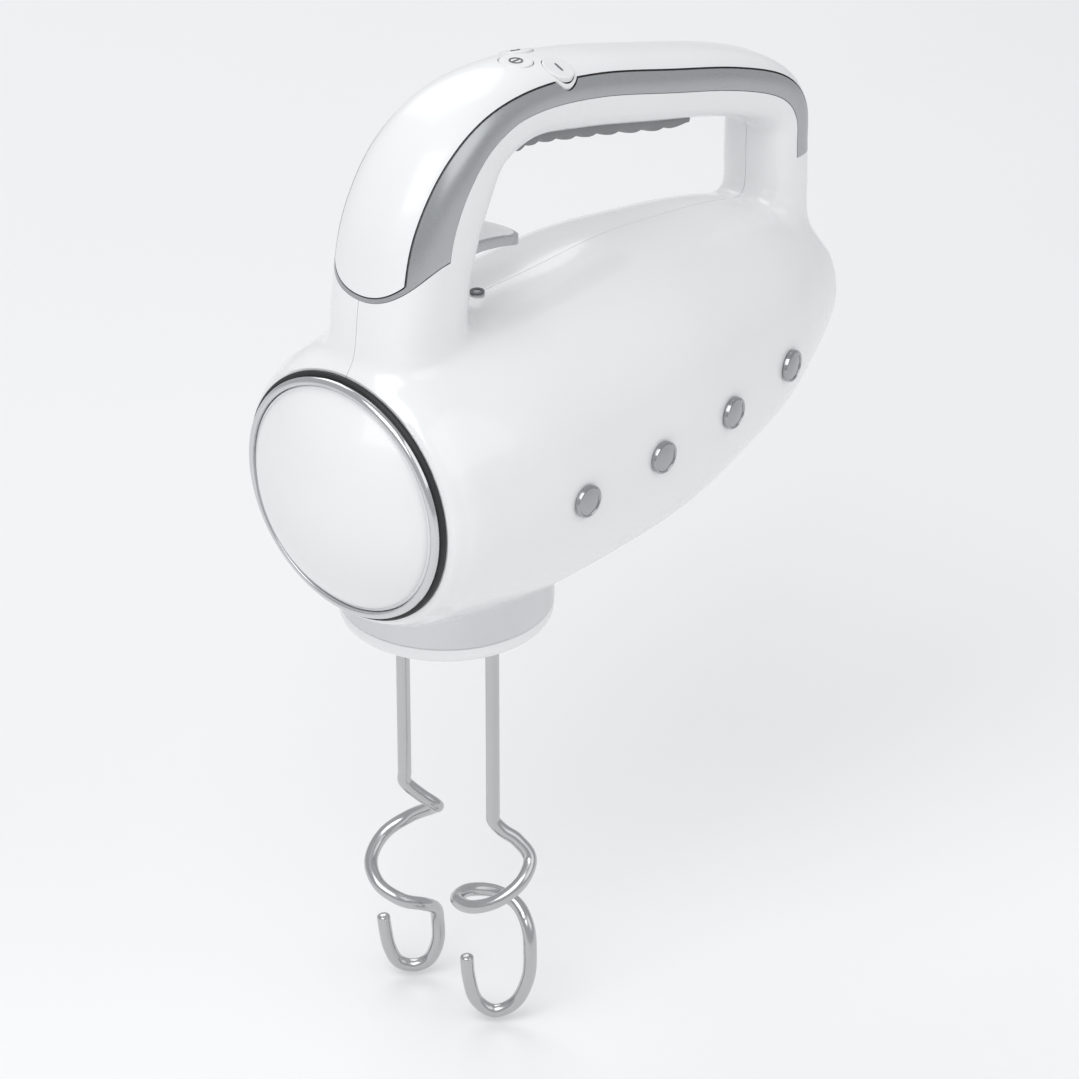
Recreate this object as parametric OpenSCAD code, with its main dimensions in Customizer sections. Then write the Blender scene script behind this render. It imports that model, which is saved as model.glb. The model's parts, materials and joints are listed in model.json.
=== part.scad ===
// Streamlined hand mixer with two wire dough hooks, a looped handle and a worm-driven gearbox.
// The origin is midway between the two spindle axes, on the underside of the collar.
// +Z is up and the nose points towards -X.

/* [Housing] */
// Distance from the spindle axes back to the heel face
heel_x = 185; // [150:1:225]
// Distance from the spindle axes forward to the front edge of the housing
nose_x = 48.5; // [46:0.5:56]
// Largest half height of the housing
body_r = 57.2; // [54:0.2:64]
// Height of the housing's centre line above the collar underside
body_z = 62.6; // [60:0.2:70]
// Wall of the two moulded housing halves
shell_wall = 2.4; // [1.8:0.1:3.2]
// Free gap where two visible mouldings meet
seam_gap = 0.25; // [0.15:0.05:0.4]

/* [Handle] */
// Height of the handle's crest above the top of the housing
handle_rise = 83.5; // [68:0.5:104]
// Half width of the handle at the finger grip
grip_half_w = 16; // [13:0.5:19]
// Half thickness of the handle at the finger grip
grip_half_t = 11.5; // [10:0.5:14]
// Half width of the front column
column_half_w = 21.5; // [18:0.5:25]
// Depth of the crowned top panel
panel_depth = 4; // [3:0.25:5]
// Height of the metal band at each side of the handle
band_h = 7.5; // [5:0.25:9]
// Thickness of the dark gasket under the panel and under the band
gasket_h = 0.6; // [0.4:0.1:1]
// Number of ridges under the finger grip
ridge_count = 9; // [5:1:12]
// Height of the grip ridges
ridge_h = 2.4; // [1:0.1:3]

/* [Nose] */
// Radius of the domed nose cap
cap_r = 42; // [40:0.5:44]
// Height of the nose cap's dome
dome_h = 17.5; // [10:0.5:20]
// Visible width of the metal nose ring
nose_ring_w = 2.9; // [2:0.1:3.2]
// Radius of the rubber seal behind the nose ring
seal_r = 46.4; // [45.6:0.1:48]

/* [Collar] */
// Outer radius of the collar
collar_r = 38.6; // [35:0.2:40]
// Height of the white ring under the metal band
base_h = 6; // [4:0.25:7]
// Wall of the metal band
band_wall = 1.8; // [1.2:0.1:2.4]

/* [Drive] */
// Distance between the two spindles
spindle_spacing = 44; // [40:0.5:48]
// Height of the motor shaft above the collar underside
motor_z = 56; // [54:0.5:62]
// Module of the worm and its wheels
gear_module = 1.1; // [1:0.05:1.2]
// Nominal pitch radius of the worm
worm_r = 4.4; // [4:0.1:5]
// Face width of the worm wheels
wheel_w = 7; // [6:0.5:8]
// Radius of the spindles
spindle_r = 5; // [4.4:0.1:5.6]
// Radius of the motor shaft
shaft_r = 2.5; // [2:0.1:2.6]
// Radial running clearance of shafts in their bearings
run_gap = 0.05; // [0.02:0.01:0.08]
// Length of the motor's lamination stack
stack_l = 32; // [24:1:36]
// Radius of the armature
armature_r = 17; // [15:0.5:18]
// Air gap between armature and poles
air_gap = 0.6; // [0.4:0.1:1]

/* [Dough hooks] */
// Diameter of the hook wire
wire_d = 5; // [4.2:0.1:5.4]
// Length of the hooks below the collar underside
hook_l = 168; // [135:1:200]
// Largest distance of the wire's centre from the hook's axis
hook_reach = 13.4; // [11:0.2:14.5]
// How far the hooks go up into the spindles
hook_insert = 40; // [30:1:44]

/* [Controls] */
// Radius of the push buttons
button_r = 6; // [4.5:0.1:6.6]
// Travel of the push buttons
button_travel = 0.7; // [0.4:0.1:1]
// Half width of the eject lever
lever_half_w = 9.5; // [7:0.5:11]
// Thickness of the eject lever's rim
lever_t = 3.4; // [2.6:0.1:4]
// Swing of the eject lever in degrees
lever_swing = 10; // [6:1:12]

/* [Hidden] */

// ---- Curves and lofts -------------------------------------------------------------------
function mix(a, b, t) = a + (b - a) * t;
// Point on the Catmull-Rom curve through p1 and p2
function curve(p0, p1, p2, p3, t) =
    0.5 * (2 * p1 + (p2 - p0) * t + (2 * p0 - 5 * p1 + 4 * p2 - p3) * t * t
    + (3 * p1 - p0 - 3 * p2 + p3) * t * t * t);
function clamped(i, n) = max(0, min(n - 1, i));
// Rows sampled along a smooth curve through the given rows, steps to a span
function sampled(rows, steps) = let (n = len(rows)) [
    for (i = [0:n - 2]) for (k = [0:steps - 1])
        curve(rows[clamped(i - 1, n)], rows[i], rows[i + 1], rows[clamped(i + 2, n)], k / steps),
    rows[n - 1]
];
function signed_power(v, e) = sign(v) * pow(abs(v), e);
// Superellipse of half width w and half height h, sides points round
function oval(w, h, fullness, sides) = [
    for (k = [0:sides - 1]) let (a = 360 * (k + 0.5) / sides)
        [w * signed_power(cos(a), 2 / fullness), h * signed_power(sin(a), 2 / fullness)]
];
// Closed solid through a list of equal rings of points
module loft(rings) {
    n = len(rings[0]);
    m = len(rings);
    polyhedron(
        points = [for (r = rings) each r],
        faces = [
            [for (k = [0:n - 1]) k],
            [for (k = [n - 1:-1:0]) (m - 1) * n + k],
            for (i = [0:m - 2]) for (k = [0:n - 1]) let (j = (k + 1) % n)
                each [[i * n + k, (i + 1) * n + k, (i + 1) * n + j], [i * n + k, (i + 1) * n + j, i * n +
                    j]]
        ]);
}
module along_x() { rotate([0, 90, 0]) children(); }
module along_y() { rotate([-90, 0, 0]) children(); }

// ---- Housing surface --------------------------------------------------------------------
// Each row holds x, centre height, half width, half height and fullness
nose_edge_r = seal_r + 0.2;
body_rows = [
    [-nose_x, body_z + 4.9, nose_edge_r, nose_edge_r, 2],
    [-nose_x + 1.2, body_z + 4.9, nose_edge_r + 1.8, nose_edge_r + 2, 2],
    [-nose_x + 5, body_z + 4.7, nose_edge_r + 3.6, nose_edge_r + 4.2, 2],
    [-nose_x * 0.7, body_z + 4, body_r - 4.2, body_r - 3.2, 2],
    [0, body_z + 1.2, body_r - 0.6, body_r, 2.1],
    [heel_x * 0.22, body_z - 0.4, body_r - 0.8, body_r, 2.15],
    [heel_x * 0.44, body_z - 0.4, body_r - 2.2, body_r - 0.6, 2.1],
    [heel_x * 0.62, body_z + 0.1, body_r - 7, body_r - 5.6, 2.05],
    [heel_x * 0.78, body_z + 0.9, body_r * 0.77, body_r * 0.79, 2],
    [heel_x * 0.9, body_z + 2.2, body_r * 0.62, body_r * 0.645, 2],
    [heel_x * 0.965, body_z + 2.6, body_r * 0.525, body_r * 0.54, 2],
    [heel_x - 0.8, body_z + 2.8, body_r * 0.47, body_r * 0.485, 2],
    [heel_x, body_z + 2.8, body_r * 0.44, body_r * 0.455, 2]
];
module body_solid() {
    loft([for (s = sampled(body_rows, 3)) [for (p = oval(s[2], s[3], s[4], 36)) [s[0], p[0], s[1] +
        p[1]]]]);
}
// The hollow: the same curve, one wall smaller, open at the nose and closed at the heel
cap_spigot_r = cap_r - 1.6;
nose_bore_r = cap_spigot_r + 0.15;
module body_hollow() {
    inner = [for (s = body_rows) if (s[0] > -nose_x + 4 && s[0] < heel_x * 0.97)
        [s[0], s[1], s[2] - shell_wall - 0.4, s[3] - shell_wall - 0.4, s[4]]];
    last = inner[len(inner) - 1];
    rows = concat(inner, [[heel_x - shell_wall - 0.4, last[1], last[2] - 1.5, last[3] - 1.5, 2]]);
    loft([for (s = rows) [for (p = oval(s[2], s[3], s[4], 24)) [s[0], p[0], s[1] + p[1]]]]);
    translate([-nose_x - 1, 0, body_z + 4.9]) along_x() cylinder(r = nose_bore_r, h = 12, $fn = 48);
}
body_top = body_z + body_r;

// ---- Handle surface ---------------------------------------------------------------------
// Each row holds x, height, half width and half thickness along the handle's centre line
function rise(f) = body_top + handle_rise * f;
column_half_t = 21;
heel_half_t = 11.4;
heel_half_w = grip_half_w - 0.4;
handle_rows = [
    [-24, rise(-0.24), column_half_w, column_half_t + 2],
    [-22.6, rise(0), column_half_w, column_half_t + 0.8],
    [-20.5, rise(0.26), column_half_w, column_half_t],
    [-15.5, rise(0.47), column_half_w, column_half_t + 0.5],
    [-5.5, rise(0.665), column_half_w - 0.5, column_half_t - 1.5],
    [9.5, rise(0.8), column_half_w - 2.5, column_half_t - 5.5],
    [heel_x * 0.18, rise(0.835), grip_half_w + 1, grip_half_t + 1.5],
    [heel_x * 0.35, rise(0.755), grip_half_w, grip_half_t + 1.8],
    [heel_x * 0.55, rise(0.62), grip_half_w, grip_half_t + 1.4],
    [heel_x * 0.74, rise(0.485), grip_half_w - 0.6, grip_half_t + 0.9],
    [heel_x * 0.875, rise(0.355), heel_half_w, grip_half_t + 0.4],
    [heel_x - heel_half_t - 1.2, rise(0.22), heel_half_w, heel_half_t],
    [heel_x - heel_half_t - 0.05, rise(0.04), heel_half_w, heel_half_t],
    [heel_x - heel_half_t - 0.02, rise(-0.16), heel_half_w + 0.6, heel_half_t],
    [heel_x - heel_half_t, rise(-0.34), heel_half_w + 2, heel_half_t]
];
path_steps = 3;
handle_path = sampled(handle_rows, path_steps);
handle_n = len(handle_path);
handle_fullness = 2.8;
handle_sides = 20;
function tangent(i) = let (a = handle_path[clamped(i - 1, handle_n)], b = handle_path[clamped(i + 1,
    handle_n)],
    d = [b[0] - a[0], b[1] - a[1]]) d / norm(d);
// Place of a point given by its distance across the handle (y) and outwards from its centre line (n)
function on_handle(i, y, n) = let (t = tangent(i), s = handle_path[i]) [s[0] - t[1] * n, y, s[1] + t[0] *
    n];
module handle_solid(inset, sides) {
    loft([for (i = [0:handle_n - 1]) let (s = handle_path[i])
        [for (p = oval(s[2] - inset, s[3] - inset, handle_fullness, sides)) on_handle(i, p[0], p[1])]]);
}
// Point of a layer halfway between two path places, so that its edges never lie on the loft's rings
function layer_point(i, n) = let (p = mix(on_handle(i, 0, n(i)), on_handle(i + 1, 0, n(i + 1)), 0.47))
    [p[0], p[2]];
// Layer of the handle between two distances from its centre line, from one path place to another
module handle_layer(first, last, low, high, half_w) {
    rotate([90, 0, 0]) linear_extrude(2 * half_w, center = true) polygon(concat(
        [for (i = [first:last]) layer_point(i, low)], [for (i = [last:-1:first]) layer_point(i, high)]));
}
function half_t(i) = handle_path[i][3];
tongue_z = rise(0.46);
tongue_flat = 0.78;
panel_heel_z = rise(0.19);
band_heel_z = rise(0.01);
tongue_first = 2 * path_steps - 1;
heel_last = handle_n - 2;
far = 60;
// Everything that the band and panel take from the handle, down to a depth below its surface
module crown(depth, tongue_r, heel_r, heel_z) {
    intersection() {
        handle_layer(tongue_first, heel_last, function (i) half_t(i) - depth(i), function (i) half_t(i) +
            30, far);
        union() {
            translate([-far, -far, tongue_z]) cube([far + heel_x / 2 + 1, 2 * far, 2 * far]);
            translate([-far, 0, tongue_z]) scale([1, 1, tongue_flat]) along_x() cylinder(r = tongue_r,
                h = far, $fn = 40);
            translate([heel_x / 2, -far, heel_z]) cube([heel_x, 2 * far, 2 * far]);
            translate([heel_x / 2, 0, heel_z]) along_x() cylinder(r = heel_r, h = heel_x, $fn = 32);
        }
    }
}
band_depth = panel_depth + gasket_h + band_h;
// The band widens towards the foot of the front column
band_flare = 15;
function flare(i) = band_flare * max(0, 1 - i / (5.5 * path_steps));
tongue_r = column_half_w + 0.6;
heel_tongue_r = heel_half_w - 2;
tongue_rim = 2.4;
module panel_space(grow = 0) {
    crown(function (i) panel_depth + grow, tongue_r - tongue_rim + grow, heel_tongue_r - 1.5 + grow,
        panel_heel_z);
}
module panel_gasket_space() { panel_space(gasket_h); }
module band_space(grow = 0) {
    crown(function (i) band_depth + flare(i) + grow, tongue_r + grow, heel_tongue_r + grow, band_heel_z);
}
module handle_hollow() { handle_solid(shell_wall + 0.3, 14); }

// ---- Housing halves ---------------------------------------------------------------------
screw_points = [
    [-40, rise(-0.05)], [-36.5, body_z - 30.6], [heel_x * 0.72, body_z - 28],
    [heel_x * 0.9, body_z + 16], [heel_x * 0.66, rise(0.545)], [2, rise(0.72)]
];
screw_r = 1.5;
boss_r = 3.6;
module screw_boss(p, side) {
    translate([p[0], 0, p[1]]) along_y()
        hull() {
            translate([0, 0, side > 0 ? 0.1 : -40]) cylinder(r = boss_r, h = 39.9, $fn = 12);
            translate([0, 0, side > 0 ? 38 : -40]) cylinder(r = boss_r + 0.8, h = 2, $fn = 12);
        }
}
lever_slot_h = 10.5;
lever_z = body_top + 24;
module lever_slot() {
    translate([-12, -lever_half_w - 0.5, lever_z - lever_slot_h + 3.2]) cube([20, 2 * lever_half_w + 1,
        lever_slot_h]);
}
module grip_seat(grow = 0) {
    handle_layer(grip_first - 1, grip_last, function (i) -half_t(i) - 6,
        function (i) grip_sink + grip_bed + grow - half_t(i), grip_w / 2 + grow);
}
module housing() {
    difference() {
        union() {
            body_solid();
            handle_solid(0, handle_sides);
        }
        difference() {
            union() {
                body_hollow();
                handle_hollow();
            }
            for (p = screw_points) screw_boss(p, 1);
            for (p = screw_points) screw_boss(p, -1);
        }
        band_space(seam_gap);
        for (p = screw_points) translate([p[0], -15, p[1]]) along_y() cylinder(r = screw_r + 0.1, h = 30,
            $fn = 12);
        for (p = screw_points) translate([p[0], screw_seat_y, p[1]]) along_y() cylinder(r = 3.2, h = 60,
            $fn = 16);
        translate([0, 0, -1]) cylinder(r = collar_r + seam_gap, h = 30, $fn = 48);
        lever_slot();
        grip_seat(0.1);
        heel_space();
        stud_holes();
    }
}
screw_seat_y = 9;
module half(side) {
    intersection() {
        housing();
        translate([-100, side > 0 ? 0.03 : -100.03, -20]) cube([400, 100, 300]);
    }
}
module shell_left() { color("whitesmoke") half(1); }
module shell_right() { color("whitesmoke") half(-1); }
module shell_screws() {
    color("silver") for (p = screw_points) translate([p[0], screw_seat_y + 0.05, p[1]]) along_y() {
        cylinder(r = 2.8, h = 2, $fn = 24);
        translate([0, 0, -14]) cylinder(r = screw_r, h = 14.01, $fn = 24);
    }
}

// ---- Handle trim ------------------------------------------------------------------------
module handle_band() {
    color("silver") difference() {
        intersection() {
            handle_solid(0, handle_sides);
            band_space();
        }
        handle_hollow();
        panel_gasket_space();
        button_pads(gasket_h + 0.02);
    }
}
module panel_gasket() {
    color("black") difference() {
        intersection() {
            handle_solid(0.8, 12);
            union() {
                panel_gasket_space();
                button_pads(gasket_h);
            }
        }
        panel_space(0.05);
        button_pads(0.05);
        handle_hollow();
    }
}
// Clearance of the band's dark line on both its sides
line_gap = 0.08;
module band_gasket() {
    color("black") difference() {
        intersection() {
            handle_solid(0.8, 12);
            band_space(seam_gap - line_gap);
        }
        band_space(line_gap);
        handle_hollow();
    }
}
module button_pads(grow) {
    for (b = [buttons[1], buttons[2]]) at_button(b) translate([0, 0, -panel_depth - 2])
        cylinder(r = button_r + 1.3 + grow, h = 12, $fn = 32);
}
module top_panel() {
    color("white") difference() {
        intersection() {
            handle_solid(0, handle_sides);
            union() {
                panel_space();
                button_pads(0);
            }
        }
        handle_hollow();
        for (b = buttons) at_button(b) translate([0, 0, -20]) cylinder(r = button_r + 0.3, h = 30,
            $fn = 32);
    }
}

// ---- Finger grip ------------------------------------------------------------------------
grip_first = 6 * path_steps - 1;
grip_last = 9 * path_steps - 1;
grip_w = 20;
grip_sink = 1.3;
// Depth of the adhesive bed that levels the seat under the grip
grip_bed = 0.4;
// Height of a ridge: a slow rise and a quick fall
function ridge(f) = let (u = f - floor(f)) ridge_h * (u < 0.7 ? sin(90 * u / 0.7) : cos(90 * (u - 0.7) /
    0.3));
module finger_grip() {
    steps = ridge_count * 6;
    rings = [for (k = [0:steps]) let (
        f = k / steps,
        place = grip_first + (grip_last - grip_first) * f,
        i = min(floor(place), grip_last - 1),
        u = place - i,
        a = 0.7 + min(1, 14 * min(f, 1 - f)) * (1.2 + ridge(f * ridge_count)),
        half_w = grip_w / 2 - 0.1,
        edge = [[-half_w, -grip_sink], [half_w, -grip_sink], [half_w, 0.4], [half_w * 0.86, a * 0.72],
            [half_w * 0.5, a], [-half_w * 0.5, a], [-half_w * 0.86, a * 0.72], [-half_w, 0.4]]
    ) [for (e = edge) mix(on_handle(i, -e[0], -half_t(i) - e[1]),
        on_handle(i + 1, -e[0], -half_t(i + 1) - e[1]), u)]];
    color("gray") loft(rings);
}

// ---- Nose -------------------------------------------------------------------------------
nose_z = body_z + 4.9;
seal_t = 2;
ring_t = 2.6;
module nose_place() { translate([-nose_x, 0, nose_z]) rotate([0, -90, 0]) children(); }
module nose_seal() {
    color("black") nose_place() difference() {
        cylinder(r = seal_r, h = seal_t, $fn = 96);
        translate([0, 0, -1]) cylinder(r = cap_spigot_r + 0.1, h = seal_t + 2, $fn = 96);
    }
}
module nose_ring() {
    color("silver") nose_place() translate([0, 0, seal_t + 0.02]) rotate_extrude($fn = 96) polygon([
        [cap_r + 0.15, 0], [cap_r + nose_ring_w, 0], [cap_r + nose_ring_w, ring_t - 1],
        [cap_r + nose_ring_w - 0.8, ring_t], [cap_r + 0.15, ring_t]
    ]);
}
module nose_cap() {
    dome_r = (cap_r * cap_r + dome_h * dome_h) / (2 * dome_h);
    skin = 2.2;
    color("white") nose_place() difference() {
        union() {
            translate([0, 0, seal_t + 0.02]) cylinder(r = cap_r, h = 1.2, $fn = 96);
            translate([0, 0, seal_t + 1.2]) intersection() {
                translate([0, 0, dome_h - dome_r]) sphere(r = dome_r, $fn = 96);
                cylinder(r = cap_r, h = dome_h + 1, $fn = 96);
            }
            translate([0, 0, -7]) cylinder(r = cap_spigot_r, h = 9.1, $fn = 96);
        }
        translate([0, 0, -8]) cylinder(r = cap_spigot_r - skin, h = 9, $fn = 96);
        intersection() {
            translate([0, 0, seal_t + 1.2 + dome_h - dome_r]) sphere(r = dome_r - skin, $fn = 96);
            translate([0, 0, 0.9]) cylinder(r = cap_spigot_r - skin, h = dome_h + 4, $fn = 96);
        }
    }
}

// ---- Collar -----------------------------------------------------------------------------
collar_top = 24;
spindle_y = spindle_spacing / 2;
collar_screw_x = 26;
module collar_band() {
    color("silver") difference() {
        translate([0, 0, base_h + 0.05]) cylinder(r = collar_r, h = collar_top - base_h, $fn = 96);
        translate([0, 0, base_h - 1]) cylinder(r = collar_r - band_wall, h = collar_top, $fn = 96);
    }
}
module collar_base() {
    color("white") difference() {
        union() {
            rotate_extrude($fn = 96) polygon(concat(
                [[0, 0]],
                [for (a = [-90:15:0]) [collar_r - 3.4 + 3.2 * cos(a), 3.2 + 3.2 * sin(a)]],
                [[collar_r - 0.2, base_h], [0, base_h]]));
            translate([0, 0, base_h - 0.5]) cylinder(r = collar_r - band_wall - 0.15, h = 4.5, $fn = 96);
        }
        translate([0, 0, 3]) cylinder(r = collar_r - band_wall - 2.6, h = 12, $fn = 96);
        for (s = [-1, 1]) translate([0, s * spindle_y, -1]) cylinder(r = spindle_r + 1.5, h = 12, $fn = 48);
        for (s = [-1, 1]) translate([s * collar_screw_x, 0, -1]) cylinder(r = screw_r + 0.2, h = 12,
            $fn = 24);
        for (s = [-1, 1]) translate([s * collar_screw_x, 0, -1]) cylinder(r = 3.2, h = 2.6, $fn = 24);
    }
}
module collar_screws() {
    color("silver") for (s = [-1, 1]) translate([s * collar_screw_x, 0, 0]) {
        translate([0, 0, 0.2]) cylinder(r = 2.8, h = 1.35, $fn = 24);
        cylinder_between(screw_r, 1.5, 16);
    }
}
module cylinder_between(r, low, high) { translate([0, 0, low]) cylinder(r = r, h = high - low, $fn = 32); }

// ---- Side studs, mark and heel ----------------------------------------------------------
stud_first_x = 10.7;
stud_pitch = 40.6;
stud_z = body_z - 0.6;
stud_size = 12;
stud_proud = 1.6;
// Half width of the housing at a place x and height z
function body_row_at(x) = let (rows = sampled(body_rows, 3), n = len(rows),
    hits = [for (i = [0:n - 2]) if (rows[i][0] <= x && rows[i + 1][0] > x) i], i = hits[0],
    u = (x - rows[i][0]) / (rows[i + 1][0] - rows[i][0])) mix(rows[i], rows[i + 1], u);
function body_half_w(x, z) = let (s = body_row_at(x))
    s[2] * pow(1 - pow(abs((z - s[1]) / s[3]), s[4]), 1 / s[4]);
stud_xs = [for (k = [0:3]) stud_first_x + stud_pitch * k * heel_x / 184];
function stud_turn(x) = atan((body_half_w(x + 2, stud_z) - body_half_w(x - 2, stud_z)) / 4);
module at_stud(x) {
    translate([x, -body_half_w(x, stud_z), stud_z]) rotate([0, 0, -stud_turn(x)]) rotate([90, 0, 0])
        children();
}
module stud_holes() {
    for (x = stud_xs) at_stud(x) translate([0, 0, -6]) cylinder(r = 1.6, h = 12, $fn = 16);
}
module side_studs() {
    color("silver") for (x = stud_xs) at_stud(x) {
        translate([0, 0, 0.5]) linear_extrude(stud_proud) circle(r = stud_size / 2, $fn = 48);
        translate([0, 0, -4]) cylinder(r = 1.45, h = 4.6, $fn = 24);
    }
}
module eject_mark() {
    color("dimgray") translate([heel_x * 0.093, 0, body_top - 0.2 + 1.2]) difference() {
        cylinder(r = 2.6, h = 0.5, $fn = 32);
        translate([0, 0, -1]) cylinder(r = 1.5, h = 3, $fn = 32);
    }
}
heel_pad_t = 2;
heel_pad_proud = 0.8;
heel_pad_w = 24;
heel_pad_z = body_z + 1;
heel_pad_h = 34;
gland_z = body_z + 30.6;
gland_r = 6.5;
cord_r = 3.6;
module heel_outline(grow) {
    translate([0, heel_pad_z]) square([heel_pad_w + 2 * grow, heel_pad_h + 2 * grow], center = true);
}
module heel_space() {
    translate([heel_x - heel_pad_t + heel_pad_proud, 0, heel_pad_z])
        translate([0, -heel_pad_w / 2 - 0.1, -heel_pad_h / 2 - 0.1]) cube([10, heel_pad_w + 0.2,
            heel_pad_h + 0.2]);
    translate([heel_x - 20, 0, gland_z]) along_x() cylinder(r = gland_r + 0.05, h = 30, $fn = 48);
}
module heel_pad() {
    color("dimgray") translate([heel_x - heel_pad_t + heel_pad_proud, 0, heel_pad_z]) difference() {
        translate([0, -heel_pad_w / 2, -heel_pad_h / 2]) cube([heel_pad_t, heel_pad_w, heel_pad_h]);
        translate([-1, 0, 0]) along_x() cylinder(r = 1, h = 1.4, $fn = 24);
    }
}
module cord_gland() {
    color("dimgray") translate([heel_x - 16, 0, gland_z]) along_x() difference() {
        union() {
            cylinder(r = gland_r, h = 16, $fn = 64);
            cylinder(r = gland_r + 1.6, h = 2.5, $fn = 64);
        }
        translate([0, 0, -1]) cylinder(r = cord_r, h = 20, $fn = 64);
    }
}

// ---- Buttons and control board ----------------------------------------------------------
// Each row holds x, offset across the handle and sideways tilt
buttons = [[37.5, 0, 0], [48.5, -10, 20], [48.5, 10, -20]];
function crest_hits(x) = [for (i = [tongue_first:heel_last - 1])
    if (on_handle(i, 0, handle_path[i][3])[0] <= x && on_handle(i + 1, 0, handle_path[i + 1][3])[0] > x) i];
module at_handle(x, y, tilt, depth = 0) {
    i = crest_hits(x)[0];
    a = on_handle(i, 0, handle_path[i][3]);
    b = on_handle(i + 1, 0, handle_path[i + 1][3]);
    t = tangent(i);
    s = handle_path[i];
    drop = s[3] * (1 - pow(1 - pow(abs(y) / s[2], handle_fullness), 1 / handle_fullness));
    p = mix(a, b, (x - a[0]) / (b[0] - a[0]));
    translate(p) rotate([0, -atan2(t[1], t[0]), 0]) translate([0, y, -drop - depth]) rotate([tilt, 0, 0])
        children();
}
module at_button(b) { at_handle(b[0], b[1], b[2]) children(); }
switch_h = 2.4;
button_stem = 7;
button_gap = 0.15;
module push_button(b) {
    color("white") at_button(b) {
        translate([0, 0, -1.8]) cylinder(r = button_r, h = 2, $fn = 48);
        translate([0, 0, -button_stem]) cylinder(r = 1.6, h = button_stem - 1.7, $fn = 24);
    }
}
module button_power() { push_button(buttons[0]); }
module button_minus() { push_button(buttons[1]); }
module button_plus() { push_button(buttons[2]); }
module button_switches() {
    color("dimgray") for (b = buttons)
        at_button(b) translate([-2.5, -2.5, -button_stem - button_gap - button_travel - switch_h])
            cube([5, 5, switch_h]);
}
board_depth = 14.6;
module control_board() {
    color("darkgreen") at_handle(50, 0, 0) translate([-23, -10, -board_depth]) cube([52, 20, 1.6]);
    color("dimgray") at_handle(50, 0, 0) translate([10, -6, -board_depth + 1.59]) cube([12, 12, 3]);
}

// ---- Eject lever ------------------------------------------------------------------------
lever_tip_x = 34;
pivot_x = -28;
pivot_z = lever_z - 1;
pin_r = 1.5;
stem_nose_r = 2;
function lever_top(x) = lever_z + 3 - (x > 0 ? 7.5 * pow(x / lever_tip_x, 2) : 0);
lever_xs = [for (x = [-6:4:lever_tip_x]) x];
module lever_profile(top, bottom, first) {
    xs = [for (x = lever_xs) if (x >= first) x];
    rotate([90, 0, 0]) linear_extrude(4 * lever_half_w, center = true) polygon(concat(
        [for (x = xs) [x, lever_top(x) - top]],
        [for (k = [len(xs) - 1:-1:0]) [xs[k], lever_top(xs[k]) - bottom]]));
}
module lever_plan(inset, first) {
    translate([0, 0, lever_z - 40]) linear_extrude(80) {
        translate([first, -lever_half_w + inset]) square([lever_tip_x - lever_half_w - first, 2 *
            (lever_half_w - inset)]);
        translate([lever_tip_x - lever_half_w, 0]) circle(r = lever_half_w - inset, $fn = 64);
    }
}
module eject_lever() {
    color("silver") difference() {
        union() {
            intersection() {
                lever_profile(0, lever_t, -6);
                lever_plan(0, -6);
            }
            translate([pivot_x, -7, lever_z - 0.4]) cube([-5 - pivot_x, 14, 3.2]);
            translate([pivot_x, -7, pivot_z]) along_y() cylinder(r = 4, h = 14, $fn = 48);
        }
        intersection() {
            lever_profile(-2, 1.2, 6);
            lever_plan(1.5, 7.5);
        }
        translate([pivot_x, -20, pivot_z]) along_y() cylinder(r = pin_r + run_gap, h = 40, $fn = 48);
    }
}
module lever_insert() {
    color("white") intersection() {
        lever_profile(-0.3, 1.18, 6);
        lever_plan(1.6, 7.6);
    }
}
module lever_pin() {
    color("silver") translate([pivot_x, -15, pivot_z]) along_y() cylinder(r = pin_r, h = 30, $fn = 48);
}
stem_x = -8;
lever_arm = stem_x - pivot_x;
eject_drop = lever_arm * lever_swing * PI / 180;
stem_top = lever_z - 0.4 - 0.3;
yoke_z = motor_z + 22;
module ejector_bar() {
    color("silver") {
        translate([stem_x, -4, stem_top - stem_nose_r]) along_y() cylinder(r = stem_nose_r, h = 8,
            $fn = 48);
        translate([stem_x - stem_nose_r, -4, yoke_z + 3])
            cube([2 * stem_nose_r, 8, stem_top - stem_nose_r - yoke_z - 3]);
        translate([stem_x - stem_nose_r, -4, yoke_z]) cube([-stem_x, 8, 4]);
        translate([-4, -spindle_y - 4, yoke_z]) cube([8, 2 * spindle_y + 8, 4]);
        for (s = [-1, 1]) translate([0, s * spindle_y, 0]) cylinder_between(wire_d / 2 - 0.25,
            hook_insert + 0.3, yoke_z + 0.5);
    }
}
spring_turns = 4.5;
spring_r = 4;
spring_wire_r = 0.55;
// Wire of circular section along a list of points, with flat ends
module wire(points, r, sides) {
    n = len(points);
    loft([for (i = [0:n - 1]) let (
        d = points[clamped(i + 1, n)] - points[clamped(i - 1, n)],
        t = d / norm(d),
        side = abs(t[1]) < 0.9 ? cross(t, [0, 1, 0]) : cross(t, [1, 0, 0]),
        u = side / norm(side),
        v = cross(t, u)
    ) [for (k = [0:sides - 1]) points[i] + r * (cos(360 * k / sides) * u + sin(360 * k / sides) * v)]]);
}
module ejector_spring() {
    low = cover_top + spring_wire_r + 0.05;
    high = yoke_z - spring_wire_r - 0.05;
    steps = spring_turns * 8;
    color("silver") wire([for (k = [0:steps]) let (a = 45 * k)
        [spring_r * cos(a), spring_r * sin(a), mix(low, high, k / steps)]], spring_wire_r, 5);
}

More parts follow.
